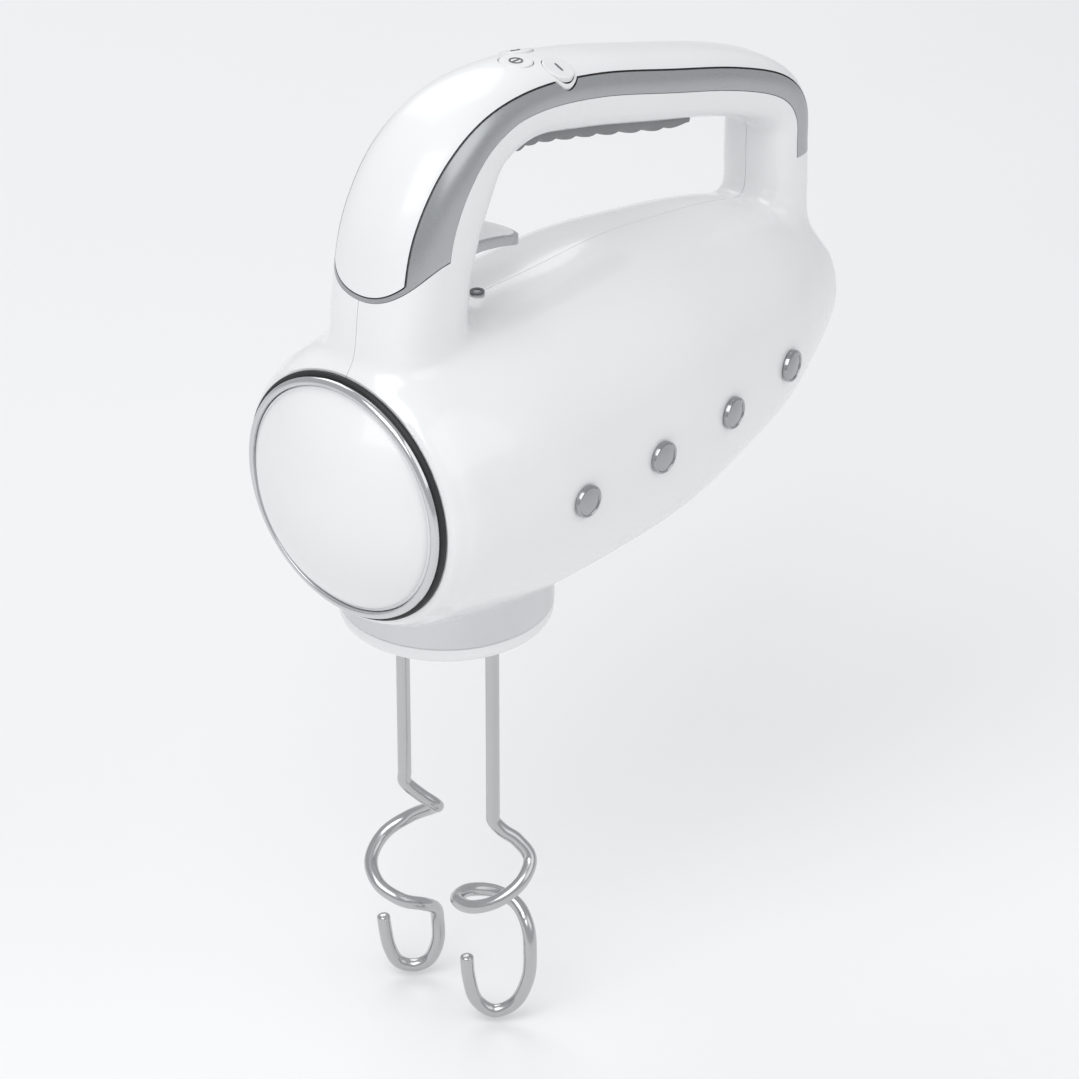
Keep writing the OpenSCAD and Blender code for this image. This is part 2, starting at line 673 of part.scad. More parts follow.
// ---- Gearbox ----------------------------------------------------------------------------
plate_z = 25;
plate_t = 4;
plate_x = 31;
plate_y = spindle_y + 6.5;
pillar = [25, spindle_y + 2.4];
pillar_r = 3.6;
cover_z = motor_z + 7;
cover_t = 4;
cover_top = cover_z + cover_t;
bearing_r = 8;
bearing_w = 6;
bearing_x = 29;
bush_r = 7.5;
module gearbox_base() {
    color("gainsboro") difference() {
        union() {
            translate([-plate_x, -plate_y, plate_z]) cube([2 * plate_x, 2 * plate_y, plate_t]);
            intersection() {
                union() {
                    for (s = [-1, 1]) translate([0, s * spindle_y, 0]) cylinder_between(bush_r + 1.8, 10,
                        plate_z + 1);
                    for (s = [-1, 1]) translate([s * collar_screw_x, 0, 0])
                        cylinder_between(4, base_h + 4.2, plate_z + 1);
                }
                cylinder(r = collar_r - band_wall - seam_gap, h = plate_z + 2, $fn = 96);
            }
            for (a = [-1, 1]) for (b = [-1, 1]) translate([a * pillar[0], b * pillar[1], 0])
                cylinder_between(pillar_r, plate_z + 1, cover_z);
            for (s = [-1, 1]) translate([s * bearing_x - bearing_w / 2, -bearing_r - 3, plate_z + 1])
                cube([bearing_w, 2 * bearing_r + 6, cover_z - plate_z - 1]);
        }
        for (s = [-1, 1]) translate([0, s * spindle_y, 9]) cylinder(r = bush_r + 0.02, h = 30, $fn = 48);
        for (s = [-1, 1]) translate([s * collar_screw_x, 0, 0]) cylinder(r = screw_r + 0.03, h = 17,
            $fn = 24);
        for (a = [-1, 1]) for (b = [-1, 1]) translate([a * pillar[0], b * pillar[1], cover_z - 12])
            cylinder(r = screw_r, h = 13, $fn = 24);
        translate([-50, 0, motor_z]) along_x() cylinder(r = bearing_r + 0.02, h = 100, $fn = 64);
    }
}
module gearbox_cover() {
    color("gainsboro") difference() {
        translate([-plate_x, -plate_y, cover_z + 0.02]) cube([2 * plate_x, 2 * plate_y, cover_t]);
        for (s = [-1, 1]) translate([0, s * spindle_y, cover_z - 5]) cylinder(r = bush_r - 0.98, h = 30,
            $fn = 48);
        for (a = [-1, 1]) for (b = [-1, 1]) translate([a * pillar[0], b * pillar[1], cover_z - 5])
            cylinder(r = screw_r + 0.2, h = 30, $fn = 24);
        translate([-50, 0, motor_z]) along_x() cylinder(r = bearing_r + 0.02, h = 100, $fn = 64);
    }
}
module gearbox_screws() {
    color("silver") for (a = [-1, 1]) for (b = [-1, 1]) translate([a * pillar[0], b * pillar[1],
        cover_top + 0.04]) {
        cylinder(r = 2.8, h = 2, $fn = 24);
        translate([0, 0, -cover_t - 8]) cylinder(r = screw_r - 0.02, h = cover_t + 8.01, $fn = 24);
    }
}
module bush(r, low, high) {
    difference() {
        cylinder_between(r, low, high);
        cylinder_between(spindle_r + run_gap, low - 1, high + 1);
    }
}
module spindle_bushes() {
    color("goldenrod") for (s = [-1, 1]) translate([0, s * spindle_y, 0]) {
        bush(bush_r, 10.5, plate_z + plate_t);
        bush(bush_r - 1, cover_z, cover_top);
    }
}
wheel_teeth = round((spindle_spacing - 2 * worm_r) / gear_module);
wheel_pitch_r = wheel_teeth * gear_module / 2;
worm_pitch_r = spindle_y - wheel_pitch_r;
tooth_addendum = 0.85 * gear_module;
tooth_root = 1.2 * gear_module;
lead = PI * gear_module;
tooth_slack = 0.16;
spindle_top = cover_top + 1.5;
module spindle(s) {
    color("silver") translate([0, s * spindle_y, 0]) difference() {
        union() {
            cylinder_between(spindle_r, 1, spindle_top);
            cylinder_between(spindle_r + 1.6, plate_z + plate_t + 0.2, plate_z + plate_t + 1.2);
            cylinder_between(spindle_r + 1.2, motor_z - wheel_w / 2 - 2.2, motor_z - wheel_w / 2 - 0.02);
        }
        cylinder_between(wire_d / 2 + run_gap, 0, spindle_top + 1);
        cylinder_between(wire_d / 2 + 0.8, 0, 2);
    }
}
module spindle_left() { spindle(1); }
module spindle_right() { spindle(-1); }
// Outline of a worm wheel: four points to a tooth, the first tooth space at angle start
module wheel_outline(start) {
    pitch = 360 / wheel_teeth;
    half_tip = pitch * (0.25 - tooth_slack / 2) * 0.62;
    half_foot = pitch * (0.25 - tooth_slack / 2) * 1.42;
    polygon([for (k = [0:wheel_teeth - 1]) let (a = start + pitch * (k + 0.5)) each [
        for (q = [[-half_foot, -tooth_root], [-half_tip, tooth_addendum], [half_tip, tooth_addendum],
            [half_foot, -tooth_root]])
            (wheel_pitch_r + q[1]) * [cos(a + q[0]), sin(a + q[0])]]]);
}
module worm_wheel(s) {
    // The worm's thread stands at x = 0 on its +Y side and half a pitch away on its -Y side
    start = s > 0 ? -90 : 90 + 180 / wheel_teeth;
    color("ivory") translate([0, s * spindle_y, motor_z - wheel_w / 2]) difference() {
        linear_extrude(wheel_w) wheel_outline(start);
        translate([0, 0, -1]) cylinder(r = spindle_r + 0.01, h = wheel_w + 2, $fn = 64);
    }
}
module worm_wheel_left() { worm_wheel(1); }
module worm_wheel_right() { worm_wheel(-1); }
worm_l = 20;
worm_steps = 12;
module worm() {
    // Radius of the thread's section at an angle from its crest
    function thread_r(a) = let (u = abs(((a + 540) % 360) - 180) / 180)
        worm_pitch_r + (u < 0.26 ? tooth_addendum : u > 0.62 ? -tooth_root
            : mix(tooth_addendum, -tooth_root, (u - 0.26) / 0.36));
    slices = round(worm_l / lead * worm_steps);
    color("silver") difference() {
        loft([for (k = [0:slices]) let (x = worm_l * (k / slices - 0.5), turn = 360 * x / lead)
            [for (a = [0:30:330]) [x, thread_r(a) * cos(a + turn), motor_z + thread_r(a) * sin(a +
                turn)]]]);
        translate([-worm_l, 0, motor_z]) along_x() cylinder(r = shaft_r + 0.06, h = 2 * worm_l, $fn = 20);
    }
}

// ---- Dough hooks ------------------------------------------------------------------------
// Rows of each wire's centre line: sideways and away as shares of the reach, down as a share of the length
left_rows = [
    [0, 0, 0.48], [0.02, 0, 0.505], [0.42, 0.04, 0.54], [0.84, 0.12, 0.572], [0.78, 0.45, 0.595], [0.1,
        0.93, 0.645],
    [-0.62, 0.7, 0.68], [-0.97, 0.05, 0.715], [-0.74, -0.62, 0.745], [-0.1, -0.93, 0.77], [0.5, -0.68,
        0.795],
    [0.8, -0.25, 0.83], [0.86, 0, 0.875], [0.86, 0, 0.93], [0.64, 0, 0.98], [0.22, 0, 1], [-0.25, 0, 0.99],
    [-0.5, 0, 0.95], [-0.6, 0, 0.905], [-0.65, 0, 0.868]
];
right_rows = [
    [0, 0, 0.47], [0.02, 0, 0.49], [0.28, -0.02, 0.515], [0.66, -0.06, 0.538], [1, -0.22, 0.578], [0.76,
        -0.74, 0.612],
    [0.1, -1, 0.648], [-0.62, -0.78, 0.675], [-1, 0, 0.697], [-0.7, 0.7, 0.712], [0, 0.95, 0.728], [0.62,
        0.74, 0.75],
    [0.93, 0.25, 0.783], [1, 0, 0.84], [0.94, 0, 0.91], [0.6, 0, 0.975], [0, 0, 1], [-0.5, 0, 0.968],
    [-0.69, 0, 0.908], [-0.74, 0, 0.855]
];
hook_turn = -48;
module hook(s, rows) {
    low = hook_l - wire_d / 2;
    bend = sampled([for (r = rows) [hook_reach * r[0], hook_reach * r[1], -low * r[2]]], 3);
    color("lightgray") translate([0, s * spindle_y, 0]) {
        cylinder_between(wire_d / 2, -low * (rows[0][2] + 0.004), hook_insert);
        rotate([0, 0, hook_turn]) wire(bend, wire_d / 2, 8);
    }
}
module hook_left() { hook(1, left_rows); }
module hook_right() { hook(-1, right_rows); }

// ---- Motor ------------------------------------------------------------------------------
shaft_end = -33.5;
fan_x = 43;
fan_w = 9;
fan_r = 26;
stack_x = 62;
stack_half_y = 30;
stack_half_z = 25;
winding_l = 5;
commutator_x = stack_x + stack_l + 8;
commutator_l = 12;
commutator_r = 10;
rear_x = commutator_x + commutator_l + 4;
module at_shaft(x) { translate([x, 0, motor_z]) along_x() children(); }
module motor_shaft() {
    color("silver") at_shaft(shaft_end) cylinder(r = shaft_r, h = rear_x + bearing_w + 1 - shaft_end,
        $fn = 64);
}
module ring(outer, inner, h) {
    difference() {
        cylinder(r = outer, h = h, $fn = 72);
        translate([0, 0, -1]) cylinder(r = inner, h = h + 2, $fn = 72);
    }
}
module armature_core() {
    slots = 12;
    color("slategray") at_shaft(stack_x) difference() {
        cylinder(r = armature_r, h = stack_l, $fn = 72);
        translate([0, 0, -1]) cylinder(r = shaft_r + 0.01, h = stack_l + 2, $fn = 48);
        for (k = [0:slots - 1]) rotate([0, 0, 360 * k / slots])
            translate([armature_r - 5, -0.9, -1]) cube([8, 1.8, stack_l + 2]);
    }
}
module armature_windings() {
    color("chocolate") for (x = [stack_x - winding_l - 0.05, stack_x + stack_l + 0.05])
        at_shaft(x) ring(armature_r - 2, shaft_r + 0.3, winding_l);
}
module commutator() {
    bars = 12;
    color("chocolate") at_shaft(commutator_x) difference() {
        ring(commutator_r, shaft_r + 0.01, commutator_l);
        for (k = [0:bars - 1]) rotate([0, 0, 360 * k / bars]) translate([commutator_r - 0.8, -0.3, -1])
            cube([2, 0.6, commutator_l + 2]);
    }
}
module cooling_fan() {
    blades = 9;
    color("ivory") at_shaft(fan_x) difference() {
        union() {
            cylinder(r = fan_r, h = 1.4, $fn = 72);
            cylinder(r = shaft_r + 3, h = fan_w, $fn = 48);
            for (k = [0:blades - 1]) rotate([0, 0, 360 * k / blades])
                translate([shaft_r + 2, -0.7, 0.6]) cube([fan_r - shaft_r - 3.5, 1.4, fan_w - 1.2]);
        }
        translate([0, 0, -1]) cylinder(r = shaft_r + 0.01, h = fan_w + 2, $fn = 48);
    }
}
module shaft_bearings() {
    color("goldenrod") for (x = [-bearing_x - bearing_w / 2, bearing_x - bearing_w / 2, rear_x])
        at_shaft(x) ring(bearing_r, shaft_r + run_gap, bearing_w);
}
pole_r = armature_r + air_gap;
module stator_core() {
    neck_z = 9;
    color("slategray") translate([stack_x, 0, motor_z]) rotate([90, 0, 90]) linear_extrude(stack_l)
        difference() {
        square([2 * stack_half_y, 2 * stack_half_z], center = true);
        difference() {
            square([2 * stack_half_y - 9, 2 * stack_half_z - 10], center = true);
            difference() {
                union() {
                    for (s = [-1, 1]) translate([s * stack_half_y, 0]) square([2 * (stack_half_y -
                        pole_r - 1), 2 * neck_z], center = true);
                    intersection() {
                        circle(r = pole_r + 2.8, $fn = 96);
                        union() {
                            for (s = [-1, 1]) polygon([[0, 0], [s * 40, 40], [s * 40, -40]]);
                        }
                    }
                }
                circle(r = pole_r, $fn = 96);
            }
        }
    }
}
module field_coils() {
    low = pole_r + 3;
    high = stack_half_y - 4.7;
    color("chocolate") for (s = [-1, 1]) translate([stack_x + stack_l / 2, s * (low + high) / 2, motor_z])
        difference() {
        cube([stack_l + 12, high - low, 34], center = true);
        cube([stack_l + 0.4, high - low + 1, 18.4], center = true);
    }
}
rail_y = stack_half_y + 0.1;
rail_t = 3;
module motor_frame() {
    rail_first = bearing_x + bearing_w / 2 + 0.1;
    rail_last = rear_x + bearing_w;
    color("dimgray") difference() {
        union() {
            for (s = [-1, 1]) translate([rail_first, s > 0 ? rail_y : -rail_y - rail_t, motor_z - 7])
                cube([rail_last - rail_first, rail_t, 14]);
            translate([rear_x, -rail_y - 0.1, motor_z - bearing_r - 3]) cube([bearing_w, 2 * rail_y + 0.2,
                2 * bearing_r + 6]);
            for (s = [-1, 1]) translate([rail_first, s > 0 ? bearing_r + 3.1 : -rail_y - 0.1, motor_z - 7])
                cube([2.5, rail_y - bearing_r - 3, 14]);
        }
        at_shaft(rear_x - 1) cylinder(r = bearing_r + 0.02, h = bearing_w + 2, $fn = 64);
    }
}
module motor_cushions() {
    color("black") for (s = [-1, 1]) for (x = [stack_x + 4, stack_x + stack_l - 10])
        translate([x, -8, s > 0 ? motor_z + stack_half_z + 0.05 : motor_z - stack_half_z - 4.05]) cube([6,
            16, 4]);
}
holder_half_z = 5;
brush_w = 6;
module brush_holders() {
    color("goldenrod") for (s = [-1, 1]) difference() {
        translate([commutator_x + 1, s > 0 ? commutator_r + 1.5 : -rail_y + 0.1, motor_z - holder_half_z])
            cube([10, rail_y - commutator_r - 1.6, 2 * holder_half_z]);
        translate([commutator_x + 3, s > 0 ? commutator_r : -rail_y + 2, motor_z - brush_w / 2])
            cube([brush_w, rail_y - commutator_r - 2, brush_w]);
    }
}
module carbon_brushes() {
    color("black") for (s = [-1, 1]) translate([commutator_x + 3.1, s > 0 ? commutator_r + 0.05 :
        -commutator_r - 8.05, motor_z - brush_w / 2 + 0.1])
        cube([brush_w - 0.2, 8, brush_w - 0.2]);
}
module brush_springs() {
    start = commutator_r + 8.1;
    color("silver") for (s = [-1, 1]) translate([commutator_x + 6, s * start, motor_z]) rotate([s > 0 ?
        -90 : 90, 0, 0])
        for (k = [0:3]) translate([0, 0, k * (rail_y - 2 - start) / 4]) difference() {
            cylinder(r = 2.3, h = 1.4, $fn = 32);
            translate([0, 0, -1]) cylinder(r = 1.5, h = 4, $fn = 32);
        }
}
module power_board() {
    color("darkgreen") translate([stack_x - 14, -19, motor_z + 35]) cube([46, 38, 1.6]);
    color("dimgray") for (x = [stack_x - 8, stack_x + 8]) translate([x, -14, motor_z + 36.59]) cube([10,
        10, 7]);
}
module mains_filter() {
    color("khaki") translate([heel_x * 0.69, -9, motor_z + 22]) cube([16, 18, 12]);
}
module terminal_block() {
    color("white") translate([heel_x * 0.8, -8, body_z + 14]) cube([9, 16, 8]);
}

shell_left();
shell_right();
shell_screws();
handle_band();
top_panel();
panel_gasket();
band_gasket();
finger_grip();
nose_cap();
nose_ring();
nose_seal();
collar_band();
collar_base();
collar_screws();
side_studs();
eject_mark();
heel_pad();
cord_gland();
button_power();
button_minus();
button_plus();
button_switches();
control_board();
eject_lever();
lever_insert();
lever_pin();
ejector_bar();
ejector_spring();
gearbox_base();
gearbox_cover();
gearbox_screws();
spindle_bushes();
spindle_left();
spindle_right();
worm_wheel_left();
worm_wheel_right();
hook_left();
hook_right();
motor_shaft();
worm();
armature_core();
armature_windings();
commutator();
cooling_fan();
shaft_bearings();
stator_core();
field_coils();
motor_frame();
motor_cushions();
brush_holders();
carbon_brushes();
brush_springs();
power_board();
mains_filter();
terminal_block();
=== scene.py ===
"""Visual model of a hand mixer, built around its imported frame."""

import json
import logging
import math
from collections.abc import Callable, Sequence
from dataclasses import dataclass, field
from enum import Enum

import bpy
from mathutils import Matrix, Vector
from mathutils.bvhtree import BVHTree


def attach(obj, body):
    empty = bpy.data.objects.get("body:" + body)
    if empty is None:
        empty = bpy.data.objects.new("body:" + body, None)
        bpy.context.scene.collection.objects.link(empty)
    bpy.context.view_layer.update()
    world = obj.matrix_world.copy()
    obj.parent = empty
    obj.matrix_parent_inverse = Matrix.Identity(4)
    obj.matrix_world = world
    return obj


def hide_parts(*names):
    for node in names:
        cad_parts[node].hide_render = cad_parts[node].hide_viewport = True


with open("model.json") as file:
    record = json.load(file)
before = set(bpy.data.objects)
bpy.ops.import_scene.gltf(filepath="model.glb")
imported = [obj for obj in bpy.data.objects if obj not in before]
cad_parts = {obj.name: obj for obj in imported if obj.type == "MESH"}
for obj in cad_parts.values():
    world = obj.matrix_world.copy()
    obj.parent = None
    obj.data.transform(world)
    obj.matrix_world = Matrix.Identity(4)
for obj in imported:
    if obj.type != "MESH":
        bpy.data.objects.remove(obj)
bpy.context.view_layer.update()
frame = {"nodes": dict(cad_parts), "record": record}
LOG = logging.getLogger("mixer")

MM = 0.001
Point = tuple[float, float, float]
Ring = list[Point]

# ---- Sizes shared by the sub-assemblies, in millimetres ------------------------------------
HEEL_X = 185.0
NOSE_X = 48.5
BODY_R = 57.2
BODY_Z = 62.6
BODY_TOP = BODY_Z + BODY_R
NOSE_Z = BODY_Z + 4.9
WALL = 2.8
SEAM = 0.25
HANDLE_RISE = 83.5
GRIP_W = 16.0
GRIP_T = 11.5
COLUMN_W = 21.5
COLUMN_T = 21.0
PANEL_DEPTH = 4.0
BAND_H = 7.5
# Width of the near-black gasket that paints the shadow line between the top panel and the band.
SHADE_LINE_W = 0.6
SEAL_R = 46.4
CAP_R = 42.0
COLLAR_R = 38.6
BASE_H = 6.0
SPINDLE_Y = 22.0
LEVER_Z = BODY_TOP + 24.0


class Side(Enum):
    """The two sides of the mixer, by the sign of Y."""

    LEFT = 1
    RIGHT = -1


class Cut(Enum):
    """How one solid works on another."""

    UNION = "UNION"
    DIFFERENCE = "DIFFERENCE"
    INTERSECT = "INTERSECT"


# ---- Curves ---------------------------------------------------------------------------------
def mix(a: float, b: float, t: float) -> float:
    """Returns the value a share t of the way from a to b."""
    return a + (b - a) * t


def rise(share: float) -> float:
    """Returns the height of a share of the handle's rise above the housing."""
    return BODY_TOP + HANDLE_RISE * share


def sampled(rows: Sequence[Sequence[float]], steps: int) -> list[list[float]]:
    """Samples a smooth curve through rows of numbers.

    Args:
        rows: The rows that the curve passes through.
        steps: How many samples each span gets.

    Returns:
        The sampled rows, with the last given row at the end.
    """
    out: list[list[float]] = []
    last = len(rows) - 1
    for i in range(last):
        p0, p1, p2, p3 = (rows[max(0, min(last, i + k))] for k in (-1, 0, 1, 2))
        for k in range(steps):
            t = k / steps
            out.append([
                0.5 * (2 * b + (c - a) * t + (2 * a - 5 * b + 4 * c - d) * t * t
                       + (3 * b - a - 3 * c + d) * t ** 3)
                for a, b, c, d in zip(p0, p1, p2, p3)])
    out.append(list(rows[last]))
    return out


def oval(half_w: float, half_h: float, fullness: float, sides: int) -> list[tuple[float, float]]:
    """Returns the points of a superellipse.

    Args:
        half_w: Half its width.
        half_h: Half its height.
        fullness: Its exponent: 2 is an ellipse, more is squarer.
        sides: How many points go round.

    Returns:
        The points, anticlockwise.
    """
    points = []
    for k in range(sides):
        a = 2 * math.pi * (k + 0.5) / sides
        c, s = math.cos(a), math.sin(a)
        points.append((half_w * math.copysign(abs(c) ** (2 / fullness), c),
                       half_h * math.copysign(abs(s) ** (2 / fullness), s)))
    return points


# ---- Modelling bench -------------------------------------------------------------------------
class Bench:
    """Mesh work with Blender's own operators."""

    @staticmethod
    def clear() -> None:
        """Leaves edit mode and deselects everything."""
        if bpy.context.object and bpy.context.object.mode != "OBJECT":
            bpy.ops.object.mode_set(mode="OBJECT")
        bpy.ops.object.select_all(action="DESELECT")

    @staticmethod
    def take(piece: bpy.types.Object) -> None:
        """Makes a piece the only selected and active object."""
        Bench.clear()
        piece.select_set(True)
        bpy.context.view_layer.objects.active = piece

    @staticmethod
    def sheet(name: str, rings: Sequence[Ring], loop: bool = False) -> bpy.types.Object:
        """Shapes a grid into a tube through rings of points, in millimetres.

        Args:
            name: The name of the new object.
            rings: Equal rings of points. A ring on one spot makes a pole.
            loop: Whether the last ring joins the first, as on a hoop.

        Returns:
            The closed solid.
        """
        rows = list(rings) + ([rings[0]] if loop else [])
        sides = len(rows[0])
        Bench.clear()
        bpy.ops.mesh.primitive_grid_add(x_subdivisions=sides, y_subdivisions=len(rows) - 1, size=1)
        piece = bpy.context.object
        piece.name = piece.data.name = name
        flat = [c * MM for row in rows for p in list(row) + [row[0]] for c in p]
        piece.data.vertices.foreach_set("co", flat)
        Bench.close(piece)
        return piece

    @staticmethod
    def close(piece: bpy.types.Object) -> None:
        """Merges doubled points, fills open ends and turns the faces outwards."""
        Bench.take(piece)
        bpy.ops.object.mode_set(mode="EDIT")
        bpy.ops.mesh.select_all(action="SELECT")
        bpy.ops.mesh.remove_doubles(threshold=2e-6)
        bpy.ops.mesh.fill_holes(sides=0)
        bpy.ops.mesh.select_all(action="SELECT")
        bpy.ops.mesh.normals_make_consistent(inside=False)
        bpy.ops.object.mode_set(mode="OBJECT")

    @staticmethod
    def lathe(name: str, profile: Sequence[tuple[float, float]], place: Callable[[float, float, float], Point],
              segments: int = 96, loop: bool = False) -> bpy.types.Object:
        """Turns a profile about an axis.

        Args:
            name: The name of the new object.
            profile: Points as radius and distance along the axis.
            place: Turns two cross coordinates and a distance along the axis into a point.
            segments: How many points go round.
            loop: Whether the profile is closed, as on a ring.

        Returns:
            The turned solid.
        """
        turns = [2 * math.pi * k / segments for k in range(segments)]
        rings = [[place(r * math.cos(a), r * math.sin(a), h) for a in turns] for r, h in profile]
        return Bench.sheet(name, rings, loop)

    @staticmethod
    def slab(name: str, outline: Sequence[tuple[float, float]], low: float, high: float,
             place: Callable[[float, float, float], Point]) -> bpy.types.Object:
        """Extrudes an outline between two distances.

        Args:
            name: The name of the new object.
            outline: The outline's points.
            low: Where the slab starts.
            high: Where it ends.
            place: Turns an outline point and a distance into a point in space.

        Returns:
            The slab.
        """
        return Bench.sheet(name, [[place(u, v, w) for u, v in outline] for w in (low, high)])

    @staticmethod
    def block(name: str, low: Point, high: Point) -> bpy.types.Object:
        """Adds a box between two corners, for cutting."""
        Bench.clear()
        centre = [(a + b) / 2 * MM for a, b in zip(low, high)]
        sides = [(b - a) * MM for a, b in zip(low, high)]
        bpy.ops.mesh.primitive_cube_add(size=1, location=centre, scale=sides)
        bpy.ops.object.transform_apply(location=True, rotation=True, scale=True)
        bpy.context.object.name = name
        return bpy.context.object

    @staticmethod
    def cut(piece: bpy.types.Object, tool: bpy.types.Object, how: Cut, keep_tool: bool = False) -> None:
        """Works one solid on another.

        Args:
            piece: The solid that changes.
            tool: The solid that works on it.
            how: The kind of cut.
            keep_tool: Whether the tool stays in the scene.
        """
        Bench.take(piece)
        modifier = piece.modifiers.new("cut", "BOOLEAN")
        modifier.operation = how.value
        modifier.object = tool
        modifier.solver = "MANIFOLD"
        bpy.ops.object.modifier_apply(modifier=modifier.name)
        if not keep_tool:
            bpy.data.objects.remove(tool, do_unlink=True)

    @staticmethod
    def copy(piece: bpy.types.Object, name: str) -> bpy.types.Object:
        """Copies a piece with a mesh of its own."""
        twin = piece.copy()
        twin.data = piece.data.copy()
        twin.name = twin.data.name = name
        bpy.context.collection.objects.link(twin)
        return twin

    @staticmethod
    def soften(piece: bpy.types.Object, width: float, segments: int = 2, angle: float = 40.0) -> None:
        """Rounds a piece's sharp edges.

        Args:
            piece: The piece.
            width: The width of the rounding, in millimetres.
            segments: How many faces go over an edge.
            angle: The least angle of an edge that is rounded, in degrees.
        """
        Bench.take(piece)
        modifier = piece.modifiers.new("edge", "BEVEL")
        modifier.width = width * MM
        modifier.segments = segments
        modifier.limit_method = "ANGLE"
        modifier.angle_limit = math.radians(angle)
        bpy.ops.object.modifier_apply(modifier=modifier.name)

    @staticmethod
    def finish(piece: bpy.types.Object, angle: float = 35.0) -> bpy.types.Object:
        """Shades a piece smooth up to an angle in degrees and returns it."""
        Bench.take(piece)
        bpy.ops.object.shade_smooth_by_angle(angle=math.radians(angle))
        return piece


# ---- Shader workbench ------------------------------------------------------------------------
class Value:
    """A number in a material, which grows Math nodes as Python works on it."""

    def __init__(self, graph: "Graph", socket: bpy.types.NodeSocket) -> None:
        """Wraps a socket of a graph."""
        self.graph = graph
        self.socket = socket

    def _math(self, operation: str, *values: "Value | float") -> "Value":
        """Adds one Math node and returns its result."""
        inputs = {i: v for i, v in enumerate(values)}
        made = self.graph.node("ShaderNodeMath", {"operation": operation}, inputs)
        return Value(self.graph, made.outputs[0])

    def __add__(self, other: "Value | float") -> "Value":
        """Adds."""
        return self._math("ADD", self, other)

    def __radd__(self, other: float) -> "Value":
        """Adds, from the right."""
        return self._math("ADD", other, self)

    def __sub__(self, other: "Value | float") -> "Value":
        """Subtracts."""
        return self._math("SUBTRACT", self, other)

    def __rsub__(self, other: float) -> "Value":
        """Subtracts from a number."""
        return self._math("SUBTRACT", other, self)

    def __mul__(self, other: "Value | float") -> "Value":
        """Multiplies."""
        return self._math("MULTIPLY", self, other)

    def __rmul__(self, other: float) -> "Value":
        """Multiplies, from the right."""
        return self._math("MULTIPLY", other, self)


Setting = str | int | float | bool | tuple


class Graph:
    """The nodes of one material."""

    def __init__(self, name: str) -> None:
        """Starts a material with its output and shader."""
        self.material = bpy.data.materials.new(name)
        self.material.use_nodes = True
        self.tree = self.material.node_tree
        self.shader = self.tree.nodes["Principled BSDF"]
        self.coordinates = self.node("ShaderNodeTexCoord").outputs["Object"]

    def node(self, kind: str, settings: dict[str, Setting] | None = None,
             inputs: dict[str | int, object] | None = None) -> bpy.types.Node:
        """Adds a node.

        Args:
            kind: The node's type.
            settings: Its properties, set first. "stops" holds a ramp's (position, colour) pairs.
            inputs: What each socket gets: a Value, a socket, a number or a colour.

        Returns:
            The node.
        """
        node = self.tree.nodes.new(kind)
        for key, value in (settings or {}).items():
            if key == "stops":
                ramp = node.color_ramp
                for element, (position, colour) in zip(ramp.elements, value):
                    element.position, element.color = position, colour
            else:
                setattr(node, key, value)
        for key, value in (inputs or {}).items():
            self.feed(node.inputs[key], value)
        return node

    def feed(self, socket: bpy.types.NodeSocket, value: object) -> None:
        """Links or sets one socket."""
        if isinstance(value, Value):
            value = value.socket
        if isinstance(value, bpy.types.NodeSocket):
            self.tree.links.new(value, socket)
        else:
            socket.default_value = value

    def noise(self, scale: float, detail: float = 2.0, stretch: Point = (1.0, 1.0, 1.0)) -> Value:
        """Returns noise over the piece, at a scale per metre, stretched by axis."""
        mapped = self.node("ShaderNodeMapping", None, {"Vector": self.coordinates, "Scale": stretch})
        made = self.node("ShaderNodeTexNoise", None,
                         {"Vector": mapped.outputs[0], "Scale": scale, "Detail": detail, "Roughness": 0.55})
        return Value(self, made.outputs[0])

    def wave(self, scale: float, direction: str, distortion: float = 0.0) -> Value:
        """Returns bands across an axis, at a scale per metre."""
        made = self.node("ShaderNodeTexWave", {"bands_direction": direction},
                         {"Vector": self.coordinates, "Scale": scale, "Distortion": distortion})
        return Value(self, made.outputs[1])

    def blend(self, factor: Value, low: Sequence[float], high: Sequence[float]) -> bpy.types.NodeSocket:
        """Mixes two colours by a value."""
        made = self.node("ShaderNodeMix", {"data_type": "RGBA"},
                         {"Factor": factor, 6: (*low[:3], 1.0), 7: (*high[:3], 1.0)})
        return made.outputs[2]

    def bump(self, height: Value, strength: float, distance: float) -> None:
        """Presses a height into the shader's normal."""
        inputs = {"Height": height, "Strength": strength, "Distance": distance}
        made = self.node("ShaderNodeBump", None, inputs)
        self.feed(self.shader.inputs["Normal"], made.outputs[0])

    def set(self, **values: object) -> None:
        """Sets the shader's own sockets, by name with underscores for spaces."""
        for key, value in values.items():
            self.feed(self.shader.inputs[key.replace("_", " ")], value)


@dataclass(frozen=True)
class Moulded:
    """Injection-moulded plastic: a faint flow in its colour and a fine orange peel."""

    name: str
    colour: Point
    roughness: float = 0.2
    coat: float = 0.6
    peel: float = 0.12
    tone: float = 0.03

    def make(self) -> bpy.types.Material:
        """Builds the material."""
        g = Graph(self.name)
        flow = g.noise(14, 3)
        grain = g.noise(900, 2)
        low = tuple(c * (1 - self.tone) for c in self.colour)
        g.set(Base_Color=g.blend(flow, low, self.colour))
        g.set(Roughness=flow * 0.06 + grain * 0.04 + (self.roughness - 0.05))
        g.set(Coat_Weight=self.coat, Coat_Roughness=0.06, IOR=1.48)
        g.bump(grain, self.peel, 0.00006)
        return g.material


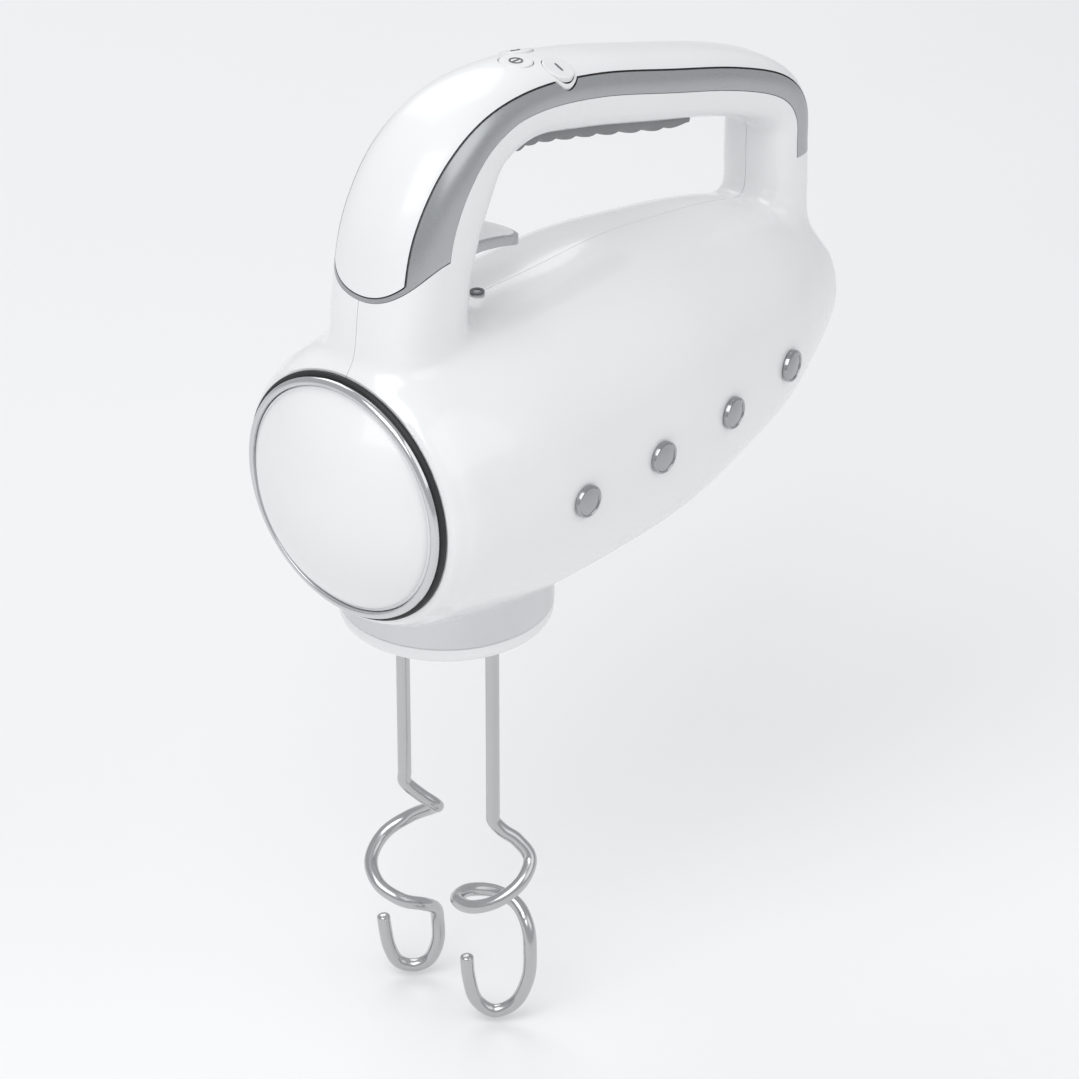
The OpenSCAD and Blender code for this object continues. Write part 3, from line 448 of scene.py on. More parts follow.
@dataclass(frozen=True)
class Brushed:
    """Satin metal with a fine grain along one axis."""

    name: str
    colour: Point
    roughness: float = 0.32
    grain: Point = (0.04, 1.0, 1.0)
    depth: float = 0.08

    def make(self) -> bpy.types.Material:
        """Builds the material."""
        g = Graph(self.name)
        lines = g.noise(2600, 3, self.grain)
        cloud = g.noise(30, 2)
        low = tuple(c * 0.84 for c in self.colour)
        g.set(Base_Color=g.blend(lines * 0.6 + cloud * 0.4, low, self.colour), Metallic=1.0)
        g.set(Roughness=lines * 0.16 + cloud * 0.06 + (self.roughness - 0.11))
        g.bump(lines, self.depth, 0.00004)
        return g.material


@dataclass(frozen=True)
class Polished:
    """Polished metal with faint wipe marks."""

    name: str
    colour: Point
    roughness: float = 0.08

    def make(self) -> bpy.types.Material:
        """Builds the material."""
        g = Graph(self.name)
        haze = g.noise(45, 3)
        scratch = g.noise(1800, 2, (0.08, 1.0, 1.0))
        low = tuple(c * 0.93 for c in self.colour)
        g.set(Base_Color=g.blend(haze, low, self.colour), Metallic=1.0)
        g.set(Roughness=haze * 0.06 + scratch * 0.05 + (self.roughness - 0.04))
        g.bump(scratch, 0.03, 0.00003)
        return g.material


@dataclass(frozen=True)
class Rubber:
    """Matt rubber with a fine tooth and a little dust."""

    name: str
    colour: Point
    roughness: float = 0.62

    def make(self) -> bpy.types.Material:
        """Builds the material."""
        g = Graph(self.name)
        tooth = g.noise(2200, 3)
        dust = g.noise(60, 3)
        high = tuple(c * 1.25 + 0.006 for c in self.colour)
        g.set(Base_Color=g.blend(dust, self.colour, high), Roughness=tooth * 0.15 + (self.roughness - 0.05))
        g.bump(tooth, 0.25, 0.00008)
        return g.material


@dataclass(frozen=True)
class Layered:
    """Stacked or wound material: bands across one axis."""

    name: str
    colour: Point
    dark: Point
    bands: float
    direction: str = "X"
    metallic: float = 0.8
    roughness: float = 0.4

    def make(self) -> bpy.types.Material:
        """Builds the material."""
        g = Graph(self.name)
        band = g.wave(self.bands, self.direction, 0.4)
        cloud = g.noise(90, 3)
        g.set(Base_Color=g.blend(band * 0.7 + cloud * 0.3, self.dark, self.colour), Metallic=self.metallic)
        g.set(Roughness=cloud * 0.2 + (self.roughness - 0.1))
        g.bump(band, 0.5, 0.0002)
        return g.material


@dataclass(frozen=True)
class Cast:
    """Die-cast or sintered metal with a sandy skin."""

    name: str
    colour: Point
    metallic: float = 0.9
    roughness: float = 0.46

    def make(self) -> bpy.types.Material:
        """Builds the material."""
        g = Graph(self.name)
        sand = g.noise(1400, 4)
        cloud = g.noise(40, 3)
        low = tuple(c * 0.75 for c in self.colour)
        g.set(Base_Color=g.blend(sand * 0.5 + cloud * 0.5, low, self.colour), Metallic=self.metallic)
        g.set(Roughness=sand * 0.2 + (self.roughness - 0.1))
        g.bump(sand, 0.3, 0.0001)
        return g.material


FINISHES = {f.name: f for f in (
    Moulded("white_shell", (0.86, 0.865, 0.87), 0.22, 0.5),
    Moulded("white_panel", (0.85, 0.855, 0.86), 0.3, 0.3),
    Moulded("button_white", (0.8, 0.805, 0.81), 0.34, 0.2),
    Brushed("silver_band", (0.52, 0.53, 0.54), 0.3),
    Polished("chrome_trim", (0.66, 0.665, 0.675), 0.1),
    Polished("stud_chrome", (0.42, 0.425, 0.435), 0.16),
    # dark_gasket: near-black rubber. It is real black on the nose seal and painted shade on the shadow lines around
    # the handle's panel and band.
    Rubber("dark_gasket", (0.012, 0.012, 0.013), 0.5),
    Rubber("grey_grip", (0.2, 0.205, 0.21), 0.55),
    Brushed("lever_silver", (0.5, 0.51, 0.52), 0.26),
    Rubber("mark_grey", (0.12, 0.125, 0.13), 0.6),
    Moulded("dark_plastic", (0.03, 0.03, 0.032), 0.45, 0.0, 0.3, 0.2),
    Brushed("hook_steel", (0.56, 0.565, 0.57), 0.2, (1.0, 1.0, 0.05), 0.04),
    Polished("screw_steel", (0.5, 0.5, 0.51), 0.22),
    Polished("spindle_steel", (0.6, 0.6, 0.61), 0.16),
    Polished("worm_steel", (0.45, 0.45, 0.47), 0.2),
    Cast("die_cast", (0.5, 0.505, 0.51)),
    Cast("bronze", (0.5, 0.32, 0.14), 1.0, 0.4),
    Moulded("gear_plastic", (0.74, 0.71, 0.6), 0.42, 0.0, 0.2, 0.06),
    Layered("lamination", (0.3, 0.31, 0.32), (0.1, 0.1, 0.11), 700.0),
    Layered("copper_wire", (0.62, 0.24, 0.08), (0.25, 0.08, 0.03), 500.0, "Z", 0.9, 0.35),
    Cast("copper_bar", (0.7, 0.33, 0.18), 1.0, 0.3),
    Moulded("fan_plastic", (0.62, 0.62, 0.57), 0.45, 0.0, 0.2, 0.08),
    Cast("carbon", (0.02, 0.02, 0.02), 0.1, 0.7),
    Layered("board_green", (0.02, 0.16, 0.05), (0.01, 0.1, 0.03), 160.0, "Y", 0.0, 0.35),
    Moulded("filter_yellow", (0.65, 0.5, 0.08), 0.4, 0.0, 0.2, 0.1),
    Moulded("terminal_white", (0.72, 0.72, 0.68), 0.5, 0.0, 0.2, 0.05),
    Rubber("cushion_rubber", (0.02, 0.02, 0.02), 0.7),
)}


class Paint:
    """Hands out each finish's material once."""

    made: dict[str, bpy.types.Material] = {}

    @classmethod
    def get(cls, slot: str) -> bpy.types.Material:
        """Returns the material of a finish."""
        if slot not in cls.made:
            cls.made[slot] = FINISHES[slot].make()
        return cls.made[slot]


def dress(piece: bpy.types.Object, slot: str, body: str, *nodes: str) -> None:
    """Gives a new piece its finish, its body and the nodes it stands for.

    Args:
        piece: The piece.
        slot: The record's material slot.
        body: The body that it rides on.
        nodes: The nodes that it replaces.
    """
    piece.data.materials.clear()
    piece.data.materials.append(Paint.get(slot))
    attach(piece, body)
    if nodes:
        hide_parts(*nodes)
    LOG.info("%s: %d faces", piece.name, len(piece.data.polygons))


# ---- Handle form -----------------------------------------------------------------------------
@dataclass
class HandleForm:
    """The handle's smooth form, which the housing and its trim share."""

    steps: int = 9
    sides: int = 72
    fullness: float = 2.8
    path: list[list[float]] = field(default_factory=list)

    def __post_init__(self) -> None:
        """Samples the handle's centre line."""
        heel_t = 11.4
        heel_w = GRIP_W - 0.4
        self.path = sampled([
            [-24, rise(-0.24), COLUMN_W, COLUMN_T + 2],
            [-22.6, rise(0), COLUMN_W, COLUMN_T + 0.8],
            [-20.5, rise(0.26), COLUMN_W, COLUMN_T],
            [-15.5, rise(0.47), COLUMN_W, COLUMN_T + 0.5],
            [-5.5, rise(0.665), COLUMN_W - 0.5, COLUMN_T - 1.5],
            [9.5, rise(0.8), COLUMN_W - 2.5, COLUMN_T - 5.5],
            [HEEL_X * 0.18, rise(0.835), GRIP_W + 1, GRIP_T + 1.5],
            [HEEL_X * 0.35, rise(0.755), GRIP_W, GRIP_T + 1.8],
            [HEEL_X * 0.55, rise(0.62), GRIP_W, GRIP_T + 1.4],
            [HEEL_X * 0.74, rise(0.485), GRIP_W - 0.6, GRIP_T + 0.9],
            [HEEL_X * 0.875, rise(0.355), heel_w, GRIP_T + 0.4],
            [HEEL_X - heel_t - 1.2, rise(0.22), heel_w, heel_t],
            [HEEL_X - heel_t - 0.05, rise(0.04), heel_w, heel_t],
            [HEEL_X - heel_t - 0.02, rise(-0.16), heel_w + 0.6, heel_t],
            [HEEL_X - heel_t, rise(-0.34), heel_w + 2, heel_t],
        ], self.steps)

    def tangent(self, i: int) -> tuple[float, float]:
        """Returns the centre line's direction at a path place."""
        a = self.path[max(0, i - 1)]
        b = self.path[min(len(self.path) - 1, i + 1)]
        length = math.hypot(b[0] - a[0], b[1] - a[1])
        return (b[0] - a[0]) / length, (b[1] - a[1]) / length

    def at(self, i: int, y: float, n: float) -> Point:
        """Returns a point by its place along, across and outwards from the centre line."""
        t = self.tangent(i)
        s = self.path[i]
        return s[0] - t[1] * n, y, s[1] + t[0] * n

    def solid(self, name: str, inset: float, sides: int | None = None) -> bpy.types.Object:
        """Builds the handle, smaller all round by an inset."""
        rings = [[self.at(i, *p) for p in oval(s[2] - inset, s[3] - inset, self.fullness, sides or self.sides)]
                 for i, s in enumerate(self.path)]
        return Bench.sheet(name, rings)

    def span(self, row: float) -> int:
        """Returns the path place of a row of the handle's sizes."""
        return int(round(row * self.steps))

    def layer(self, first: float, last: float, low: Callable[[float], float], high: Callable[[float], float],
              half_w: float) -> bpy.types.Object:
        """Builds a slab that follows the centre line.

        Args:
            first: The row where it starts.
            last: The row where it ends.
            low: Its near distance from the centre line, less the half thickness, by row.
            high: Its far distance, by row.
            half_w: Half its width.

        Returns:
            The slab.
        """
        places = range(self.span(first), self.span(last) + 1)
        outline = [self.at(i, 0, self.path[i][3] + low(i / self.steps)) for i in places]
        outline += [self.at(i, 0, self.path[i][3] + high(i / self.steps)) for i in reversed(places)]
        return Bench.slab("layer", [(p[0], p[2]) for p in outline], -half_w, half_w, lambda u, v, w: (u, w, v))

    def crown(self, depth: Callable[[float], float], tongue_r: float, heel_r: float,
              heel_z: float) -> bpy.types.Object:
        """Builds the tool that takes the top of the handle, with a rounded tongue at each end.

        Args:
            depth: How deep it goes below the surface, by row.
            tongue_r: Half the width of the front tongue.
            heel_r: Half the width of the heel tongue.
            heel_z: The height of the heel tongue's centre.

        Returns:
            The cutting tool.
        """
        tongue_z, flat, far = rise(0.46), 0.78, 70.0
        tool = self.layer(1.75, 13.9, lambda i: -depth(i), lambda i: 30.0, far)
        mask = Bench.block("mask", (-far, -far, tongue_z), (HEEL_X / 2 + 1, far, 260))
        Bench.cut(mask, Bench.block("mask_rear", (HEEL_X / 2, -far, heel_z), (260, far, 260)), Cut.UNION)
        tongue = Bench.lathe("tongue", [(0, -far), (1, -far), (1, 0), (0, 0)],
                             lambda u, v, h: (h, u * tongue_r, tongue_z + v * tongue_r * flat), 96)
        Bench.cut(mask, tongue, Cut.UNION)
        heel = Bench.lathe("heel", [(0, 100), (1, 100), (1, 260), (0, 260)],
                           lambda u, v, h: (h, u * heel_r, heel_z + v * heel_r), 72)
        Bench.cut(mask, heel, Cut.UNION)
        Bench.cut(tool, mask, Cut.INTERSECT)
        return tool

    def panel_tool(self, grow: float = 0.0) -> bpy.types.Object:
        """Builds the tool that takes the top panel's space, with its button pads."""
        heel_r = GRIP_W - 0.4 - 3.5 + grow
        tool = self.crown(lambda i: PANEL_DEPTH + grow, COLUMN_W + 0.6 - 2.4 + grow, heel_r, rise(0.19))
        for button in BUTTONS[1:]:
            Bench.cut(tool, button.disc("pad", button.radius + 1.3 + grow, -6.0, 6.0), Cut.UNION)
        return tool

    def band_tool(self, grow: float = 0.0) -> bpy.types.Object:
        """Builds the tool that takes the whole band's space."""
        depth = PANEL_DEPTH + SHADE_LINE_W + BAND_H + grow
        return self.crown(lambda i: depth + 15.0 * max(0.0, 1 - i / 5.5), COLUMN_W + 0.6 + grow,
                          GRIP_W - 2.4 + grow, rise(0.01))

    def crest(self, x: float, y: float) -> tuple[Point, tuple[float, float]]:
        """Returns the surface point above a place, and the direction along the handle there."""
        hits = [i for i in range(self.span(1.75), self.span(13.9))
                if self.at(i, 0, self.path[i][3])[0] <= x < self.at(i + 1, 0, self.path[i + 1][3])[0]]
        i = hits[0]
        a, b = self.at(i, 0, self.path[i][3]), self.at(i + 1, 0, self.path[i + 1][3])
        s = self.path[i]
        drop = s[3] * (1 - (1 - (abs(y) / s[2]) ** self.fullness) ** (1 / self.fullness))
        u = (x - a[0]) / (b[0] - a[0])
        t = self.tangent(i)
        centre = [mix(p, q, u) for p, q in zip(a, b)]
        return (centre[0] + t[1] * drop, y, centre[2] - t[0] * drop), t


@dataclass
class ButtonPlace:
    """Where a push button stands on the handle."""

    name: str
    x: float
    y: float
    tilt: float
    radius: float = 6.0

    def place(self, u: float, v: float, h: float) -> Point:
        """Turns a point in the button's own axes into a point in space, in millimetres."""
        base, t = HANDLE.crest(self.x, self.y)
        a = math.radians(self.tilt)
        across, up = v * math.cos(a) - h * math.sin(a), v * math.sin(a) + h * math.cos(a)
        return base[0] + u * t[0] - up * t[1], base[1] + across, base[2] + u * t[1] + up * t[0]

    def disc(self, name: str, radius: float, low: float, high: float) -> bpy.types.Object:
        """Builds a plain disc about the button's axis, for cutting."""
        return Bench.lathe(name, [(0, low), (radius, low), (radius, high), (0, high)], self.place, 64)


HANDLE = HandleForm()
BUTTONS = (
    ButtonPlace("power", 37.5, 0, 0),
    ButtonPlace("minus", 48.5, -10, 20),
    ButtonPlace("plus", 48.5, 10, -20),
)


# ---- Housing ---------------------------------------------------------------------------------
@dataclass
class Housing:
    """The two moulded halves of the body and handle."""

    sides: int = 112
    steps: int = 8
    voxel: float = 1.25
    fillet: float = 13.0

    def rows(self) -> list[list[float]]:
        """Returns the body's rows: x, centre height, half width, half height and fullness."""
        edge = SEAL_R + 0.2
        return [
            [-NOSE_X - 3, BODY_Z + 4.9, edge - 1.2, edge - 1.2, 2],
            [-NOSE_X, BODY_Z + 4.9, edge, edge, 2],
            [-NOSE_X + 1.2, BODY_Z + 4.9, edge + 1.8, edge + 2, 2],
            [-NOSE_X + 5, BODY_Z + 4.7, edge + 3.6, edge + 4.2, 2],
            [-NOSE_X * 0.7, BODY_Z + 4, BODY_R - 4.2, BODY_R - 3.2, 2],
            [0, BODY_Z + 1.2, BODY_R - 0.6, BODY_R, 2.1],
            [HEEL_X * 0.22, BODY_Z - 0.4, BODY_R - 0.8, BODY_R, 2.15],
            [HEEL_X * 0.44, BODY_Z - 0.4, BODY_R - 2.2, BODY_R - 0.6, 2.1],
            [HEEL_X * 0.62, BODY_Z + 0.1, BODY_R - 7, BODY_R - 5.6, 2.05],
            [HEEL_X * 0.78, BODY_Z + 0.9, BODY_R * 0.77, BODY_R * 0.79, 2],
            [HEEL_X * 0.9, BODY_Z + 2.2, BODY_R * 0.62, BODY_R * 0.645, 2],
            [HEEL_X * 0.965, BODY_Z + 2.6, BODY_R * 0.525, BODY_R * 0.54, 2],
            [HEEL_X - 0.8, BODY_Z + 2.8, BODY_R * 0.47, BODY_R * 0.485, 2],
            [HEEL_X, BODY_Z + 2.8, BODY_R * 0.44, BODY_R * 0.455, 2],
        ]

    def body(self, name: str, inset: float, steps: int, sides: int) -> bpy.types.Object:
        """Builds the body's round form."""
        rows = [r for r in sampled(self.rows(), steps) if not inset or -NOSE_X + 4 < r[0] < HEEL_X * 0.985]
        return Bench.sheet(name, [[(r[0], p[0], r[1] + p[1])
                                   for p in oval(r[2] - inset, r[3] - inset, r[4], sides)] for r in rows])

    def half_width(self, x: float, z: float) -> float:
        """Returns the body's half width at a place and height."""
        rows = sampled(self.rows(), self.steps)
        i = next(k for k in range(len(rows) - 1) if rows[k][0] <= x < rows[k + 1][0])
        u = (x - rows[i][0]) / (rows[i + 1][0] - rows[i][0])
        s = [mix(a, b, u) for a, b in zip(rows[i], rows[i + 1])]
        return s[2] * (1 - abs((z - s[1]) / s[3]) ** s[4]) ** (1 / s[4])

    def skin(self) -> bpy.types.Object:
        """Builds the outer form, with the handle's columns flowing into the body."""
        body = self.body("body_form", 0, self.steps, self.sides)
        handle = HANDLE.solid("handle_form", 0)
        trees = []
        for form in (body, handle):
            points = [v.co.copy() for v in form.data.vertices]
            trees.append(BVHTree.FromPolygons(points, [tuple(p.vertices) for p in form.data.polygons]))
        Bench.cut(body, handle, Cut.UNION)
        body.name = body.data.name = "housing"
        Bench.take(body)
        modifier = body.modifiers.new("even", "REMESH")
        modifier.mode = "VOXEL"
        modifier.voxel_size = self.voxel * MM * 1.0
        bpy.ops.object.modifier_apply(modifier=modifier.name)
        group = body.vertex_groups.new(name="flow")
        for vertex in body.data.vertices:
            near = [tree.find_nearest(vertex.co) for tree in trees]
            closest = min(near, key=lambda hit: hit[3])
            share = 1 - max(hit[3] for hit in near) / (self.fillet * MM)
            if share > 0:
                group.add([vertex.index], min(1.0, share * 1.6), "REPLACE")
            else:
                vertex.co = closest[0]
        modifier = body.modifiers.new("flow", "SMOOTH")
        modifier.factor = 0.6
        modifier.iterations = 90
        modifier.vertex_group = group.name
        bpy.ops.object.modifier_apply(modifier=modifier.name)
        return body

    def build(self) -> None:
        """Builds and dresses both halves."""
        skin = self.skin()
        tools = [
            self.body("hollow", WALL, 2, 40),
            HANDLE.solid("handle_hollow", WALL, 24),
            HANDLE.band_tool(SEAM),
            Bench.lathe("nose_face", [(0, -NOSE_X - 9), (60, -NOSE_X - 9), (60, -NOSE_X), (0, -NOSE_X)],
                        lambda u, v, h: (h, u, NOSE_Z + v), 96),
            Bench.lathe("nose_bore",
                        [(0, -NOSE_X - 2), (40.6, -NOSE_X - 2), (40.6, -NOSE_X + 12), (0, -NOSE_X + 12)],
                        lambda u, v, h: (h, u, NOSE_Z + v), 96),
            Bench.lathe("collar_seat", [(0, -3), (COLLAR_R + SEAM, -3), (COLLAR_R + SEAM, 29), (0, 29)],
                        lambda u, v, h: (u, v, h), 128),
            Bench.block("lever_slot", (-12, -10, LEVER_Z - 7.3), (8, 10, LEVER_Z + 3.2)),
            Bench.block("heel_seat", (HEEL_X - 1.2, -12.1, BODY_Z - 16.1), (HEEL_X + 6, 12.1, BODY_Z + 18.1)),
            Bench.lathe("gland_bore", [(0, HEEL_X - 20), (6.6, HEEL_X - 20), (6.6, HEEL_X + 6), (0, HEEL_X + 6)],
                        lambda u, v, h: (h, u, BODY_Z + 30.6 + v), 48),
            HANDLE.layer(5.7, 8.7, lambda i: -60.0, lambda i: -2 * self.thickness(i) + 1.4, 10.1),
        ]
        for tool in tools:
            Bench.cut(skin, tool, Cut.DIFFERENCE)
        for side, node in ((Side.LEFT, "shell_left"), (Side.RIGHT, "shell_right")):
            half = Bench.copy(skin, node + "_form")
            low, high = (0.09, 90.0) if side is Side.LEFT else (-90.0, -0.09)
            Bench.cut(half, Bench.block("half", (-120, low, -30), (260, high, 260)), Cut.INTERSECT)
            dress(Bench.finish(half, 30), "white_shell", "housing", node)
        bpy.data.objects.remove(skin, do_unlink=True)

    @staticmethod
    def thickness(row: float) -> float:
        """Returns the handle's half thickness at a row."""
        return HANDLE.path[HANDLE.span(row)][3]


# ---- Handle trim -----------------------------------------------------------------------------
@dataclass
class HandleTrim:
    """The top panel, the metal band and the near-black gaskets that paint the shadow lines in their gaps."""

    def piece(self, name: str, inset: float, keep: bpy.types.Object,
              *remove: bpy.types.Object) -> bpy.types.Object:
        """Cuts one trim piece from the handle's form.

        Args:
            name: The piece's name.
            inset: How far its surface lies below the handle's.
            keep: The tool that it must lie in.
            remove: Tools that are taken out of it.

        Returns:
            The piece.
        """
        made = HANDLE.solid(name, inset)
        Bench.cut(made, keep, Cut.INTERSECT)
        for tool in (HANDLE.solid("hollow", WALL + 0.2, 24), *remove):
            Bench.cut(made, tool, Cut.DIFFERENCE)
        return made

    def build(self) -> None:
        """Builds and dresses the trim."""
        holes = [b.disc("hole", b.radius + 0.3, -20, 12) for b in BUTTONS]
        panel = self.piece("panel_form", 0, HANDLE.panel_tool(), *holes)
        dress(Bench.finish(panel, 32), "white_panel", "housing", "top_panel")
        # Painted shade: a near-black gasket, sunk a little below the surface, stands in for the shadow line between
        # the panel and the band.
        panel_shade_line = self.piece("panel_shade_line_form", 0.55, HANDLE.panel_tool(SHADE_LINE_W), HANDLE.panel_tool(0.03))
        dress(Bench.finish(panel_shade_line, 32), "dark_gasket", "housing", "panel_gasket")
        band = self.piece("band_form", 0, HANDLE.band_tool(), HANDLE.panel_tool(SHADE_LINE_W))
        dress(Bench.finish(band, 32), "silver_band", "housing", "handle_band")
        # Painted shade: a near-black strip stands in for the shadow line between the band and the housing.
        line = self.piece("band_shade_line_form", 0.45, HANDLE.band_tool(SEAM - 0.03), HANDLE.band_tool(0.03))
        dress(Bench.finish(line, 32), "dark_gasket", "housing", "band_gasket")


@dataclass
class FingerGrip:
    """The ridged soft grip under the handle."""

    half_w: float = 9.9
    sink: float = 1.3
    ridges: int = 9
    ridge_h: float = 2.4

    def ridge(self, share: float) -> float:
        """Returns a ridge's height: a slow rise and a quick fall."""
        u = share - math.floor(share)
        wave = math.sin(math.pi / 2 * u / 0.7) if u < 0.7 else math.cos(math.pi / 2 * (u - 0.7) / 0.3)
        return self.ridge_h * wave

    def build(self) -> None:
        """Builds and dresses the grip."""
        first, last, steps = 5.7, 8.6, self.ridges * 14
        rings: list[Ring] = []
        for k in range(steps + 1):
            f = k / steps
            i = HANDLE.span(first) + f * (HANDLE.span(last) - HANDLE.span(first))
            j = int(i)
            high = 0.7 + min(1.0, 14 * min(f, 1 - f)) * (1.2 + self.ridge(f * self.ridges))
            arc = [(self.half_w * math.cos(a), max(0.0, math.sin(a)) ** 0.6 * high)
                   for a in (math.pi * m / 22 for m in range(23))]
            edge = [(-self.half_w, -self.sink), (self.half_w, -self.sink), *arc]
            rings.append([tuple(mix(p, q, i - j) for p, q in zip(
                HANDLE.at(j, y, -HANDLE.path[j][3] - n), HANDLE.at(j + 1, y, -HANDLE.path[j + 1][3] - n)))
                for y, n in edge])
        grip = Bench.finish(Bench.sheet("grip_form", rings), 50)
        dress(grip, "grey_grip", "housing", "finger_grip")


# ---- Nose ------------------------------------------------------------------------------------
@dataclass
class Nose:
    """The domed cap with its metal ring and rubber seal."""

    dome: float = 17.5
    seal_t: float = 2.0

    def place(self, u: float, v: float, h: float) -> Point:
        """Turns a point in the nose's own axes into a point in space."""
        return -NOSE_X - h, -u, NOSE_Z + v

    def build(self) -> None:
        """Builds and dresses the nose."""
        radius = (CAP_R ** 2 + self.dome ** 2) / (2 * self.dome)
        base = self.seal_t + 1.3
        reach = math.asin((CAP_R - 1.2) / radius)
        dome = [(radius * math.sin(a), base + self.dome - radius + radius * math.cos(a))
                for a in (reach * k / 28 for k in range(29))]
        rim = [(CAP_R - 1.2 + 1.2 * math.sin(a), base - 0.55 + 1.2 * math.cos(a))
               for a in (math.pi / 2 * k / 8 for k in range(1, 9))]
        inside = [(CAP_R, self.seal_t + 0.05), (40.3, self.seal_t + 0.05), (40.3, -7), (38.2, -7), (38.2, 1),
                  (20, base + 6), (0, base + 9)]
        cap = Bench.lathe("cap_form", dome + rim + inside, self.place, 144)
        dress(Bench.finish(cap, 40), "white_panel", "housing", "nose_cap")
        low, high = self.seal_t + 0.03, self.seal_t + 2.6
        ring = Bench.lathe("nose_ring_form", [
            (CAP_R + 0.2, low), (CAP_R + 2.9, low), (CAP_R + 2.9, high - 1.4), (CAP_R + 2.6, high - 0.7),
            (CAP_R + 2.0, high - 0.2), (CAP_R + 1.2, high), (CAP_R + 0.5, high - 0.1), (CAP_R + 0.2, high - 0.4)],
            self.place, 144, True)
        dress(Bench.finish(ring, 50), "chrome_trim", "housing", "nose_ring")
        seal = Bench.lathe("seal_form", [
            (40.5, 0.02), (SEAL_R - 0.4, 0.02), (SEAL_R, 0.5), (SEAL_R, 1.4), (SEAL_R - 0.5, 1.95), (40.5, 2.0)],
            self.place, 144, True)
        dress(Bench.finish(seal, 40), "dark_gasket", "housing", "nose_seal")


# ---- Collar ----------------------------------------------------------------------------------
@dataclass
class Collar:
    """The round collar under the gearbox."""

    top: float = 24.0

    @staticmethod
    def place(u: float, v: float, h: float) -> Point:
        """Turns a point about the collar's axis into a point in space."""
        return u, v, h

    def build(self) -> None:
        """Builds and dresses the collar."""
        r = COLLAR_R
        band = Bench.lathe("collar_band_form", [
            (r - 1.8, BASE_H + 0.1), (r - 0.4, BASE_H + 0.1), (r, BASE_H + 0.5), (r, self.top),
            (r - 1.8, self.top)], self.place, 160, True)
        dress(Bench.finish(band, 40), "chrome_trim", "housing", "collar_band")
        lip = [(r - 3.4 + 3.2 * math.cos(a), 3.2 + 3.2 * math.sin(a))
               for a in (-math.pi / 2 + math.pi / 2 * k / 12 for k in range(13))]
        base = Bench.lathe("collar_base_form", [
            (0, 0), *lip, (r - 0.2, BASE_H - 0.3), (r - 0.5, BASE_H), (r - 1.95, BASE_H), (r - 1.95, BASE_H + 4),
            (r - 4.4, BASE_H + 4), (r - 4.4, 3), (0, 3)], self.place, 160)
        holes = [(0, SPINDLE_Y, 6.5), (0, -SPINDLE_Y, 6.5), (26, 0, 3.2), (-26, 0, 3.2)]
        for x, y, size in holes:
            tool = Bench.lathe("hole", [(0, -2), (size, -2), (size, 12), (0, 12)],
                               lambda u, v, h, x=x, y=y: (x + u, y + v, h), 64)
            Bench.cut(base, tool, Cut.DIFFERENCE)
        dress(Bench.finish(base, 35), "white_panel", "housing", "collar_base")


@dataclass
class Studs:
    """The four round studs on the housing's side."""

    housing: Housing
    first: float = 10.7
    pitch: float = 40.6
    z: float = BODY_Z - 0.6
    radius: float = 6.0

    def build(self) -> None:
        """Builds and dresses the studs."""
        parts = []
        for k in range(4):
            x = self.first + self.pitch * k * HEEL_X / 184
            w = self.housing.half_width(x, self.z)
            slope = (self.housing.half_width(x + 2, self.z) - self.housing.half_width(x - 2, self.z)) / 4
            a = math.atan(slope)

            def place(u: float, v: float, h: float, x: float = x, w: float = w, a: float = a) -> Point:
                """Turns a point in the stud's own axes into a point in space."""
                c, s = math.cos(a), math.sin(a)
                return x + u * c - h * s, -w - h * c - u * s, self.z + v

            r = self.radius
            parts.append(Bench.lathe("stud", [
                (0, 2.0), (r - 2.2, 1.98), (r - 1.5, 1.7), (r - 1.1, 1.7), (r - 0.7, 2.1), (r - 0.2, 1.9), (r, 1.5),
                (r, 0.4), (1.5, 0.4), (1.5, -4), (0, -4)], place, 64))
        Bench.clear()
        for part in parts:
            part.select_set(True)
        bpy.context.view_layer.objects.active = parts[0]
        bpy.ops.object.join()
        parts[0].name = parts[0].data.name = "studs_form"
        dress(Bench.finish(parts[0], 40), "stud_chrome", "housing", "side_studs")


# ---- Buttons ---------------------------------------------------------------------------------
@dataclass
class Buttons:
    """The push buttons with their moulded marks."""

    mark_h: float = 0.25

    def bar(self, button: ButtonPlace, length: float, width: float, along: bool) -> bpy.types.Object:
        """Builds one bar of a mark, along the handle or across it."""
        u, v = (length / 2, width / 2) if along else (width / 2, length / 2)
        shape = [(a * u, b * v) for a, b in ((-1, -1), (1, -1), (1, 1), (-1, 1))]
        return Bench.slab("bar", shape, 0.1, 0.1 + self.mark_h, button.place)

    def mark(self, button: ButtonPlace) -> bpy.types.Object:
        """Builds a button's mark."""
        if button.name == "power":
            profile = [(1.9, 0.1), (2.5, 0.1), (2.5, 0.1 + self.mark_h), (1.9, 0.1 + self.mark_h)]
            mark = Bench.lathe("power_mark", profile, button.place, 48, True)
            Bench.cut(mark, self.bar(button, 3.0, 0.6, True), Cut.UNION)
            return mark
        mark = self.bar(button, 4.0, 0.7, False)
        if button.name == "plus":
            Bench.cut(mark, self.bar(button, 4.0, 0.7, True), Cut.UNION)
        mark.name = mark.data.name = button.name + "_mark"
        return mark

    def build(self) -> None:
        """Builds and dresses the buttons."""
        for button in BUTTONS:
            r = button.radius
            cap = Bench.lathe(button.name + "_button", [
                (0, 0.12), (r * 0.5, 0.14), (r - 1.0, 0.2), (r - 0.3, 0.16), (r, -0.15), (r, -1.8), (1.6, -1.8),
                (1.6, -7), (0, -7)], button.place, 72)
            dress(Bench.finish(cap, 40), "button_white", button.name, "button_" + button.name)
            mark = self.mark(button)
            dress(Bench.finish(mark, 30), "mark_grey", button.name)


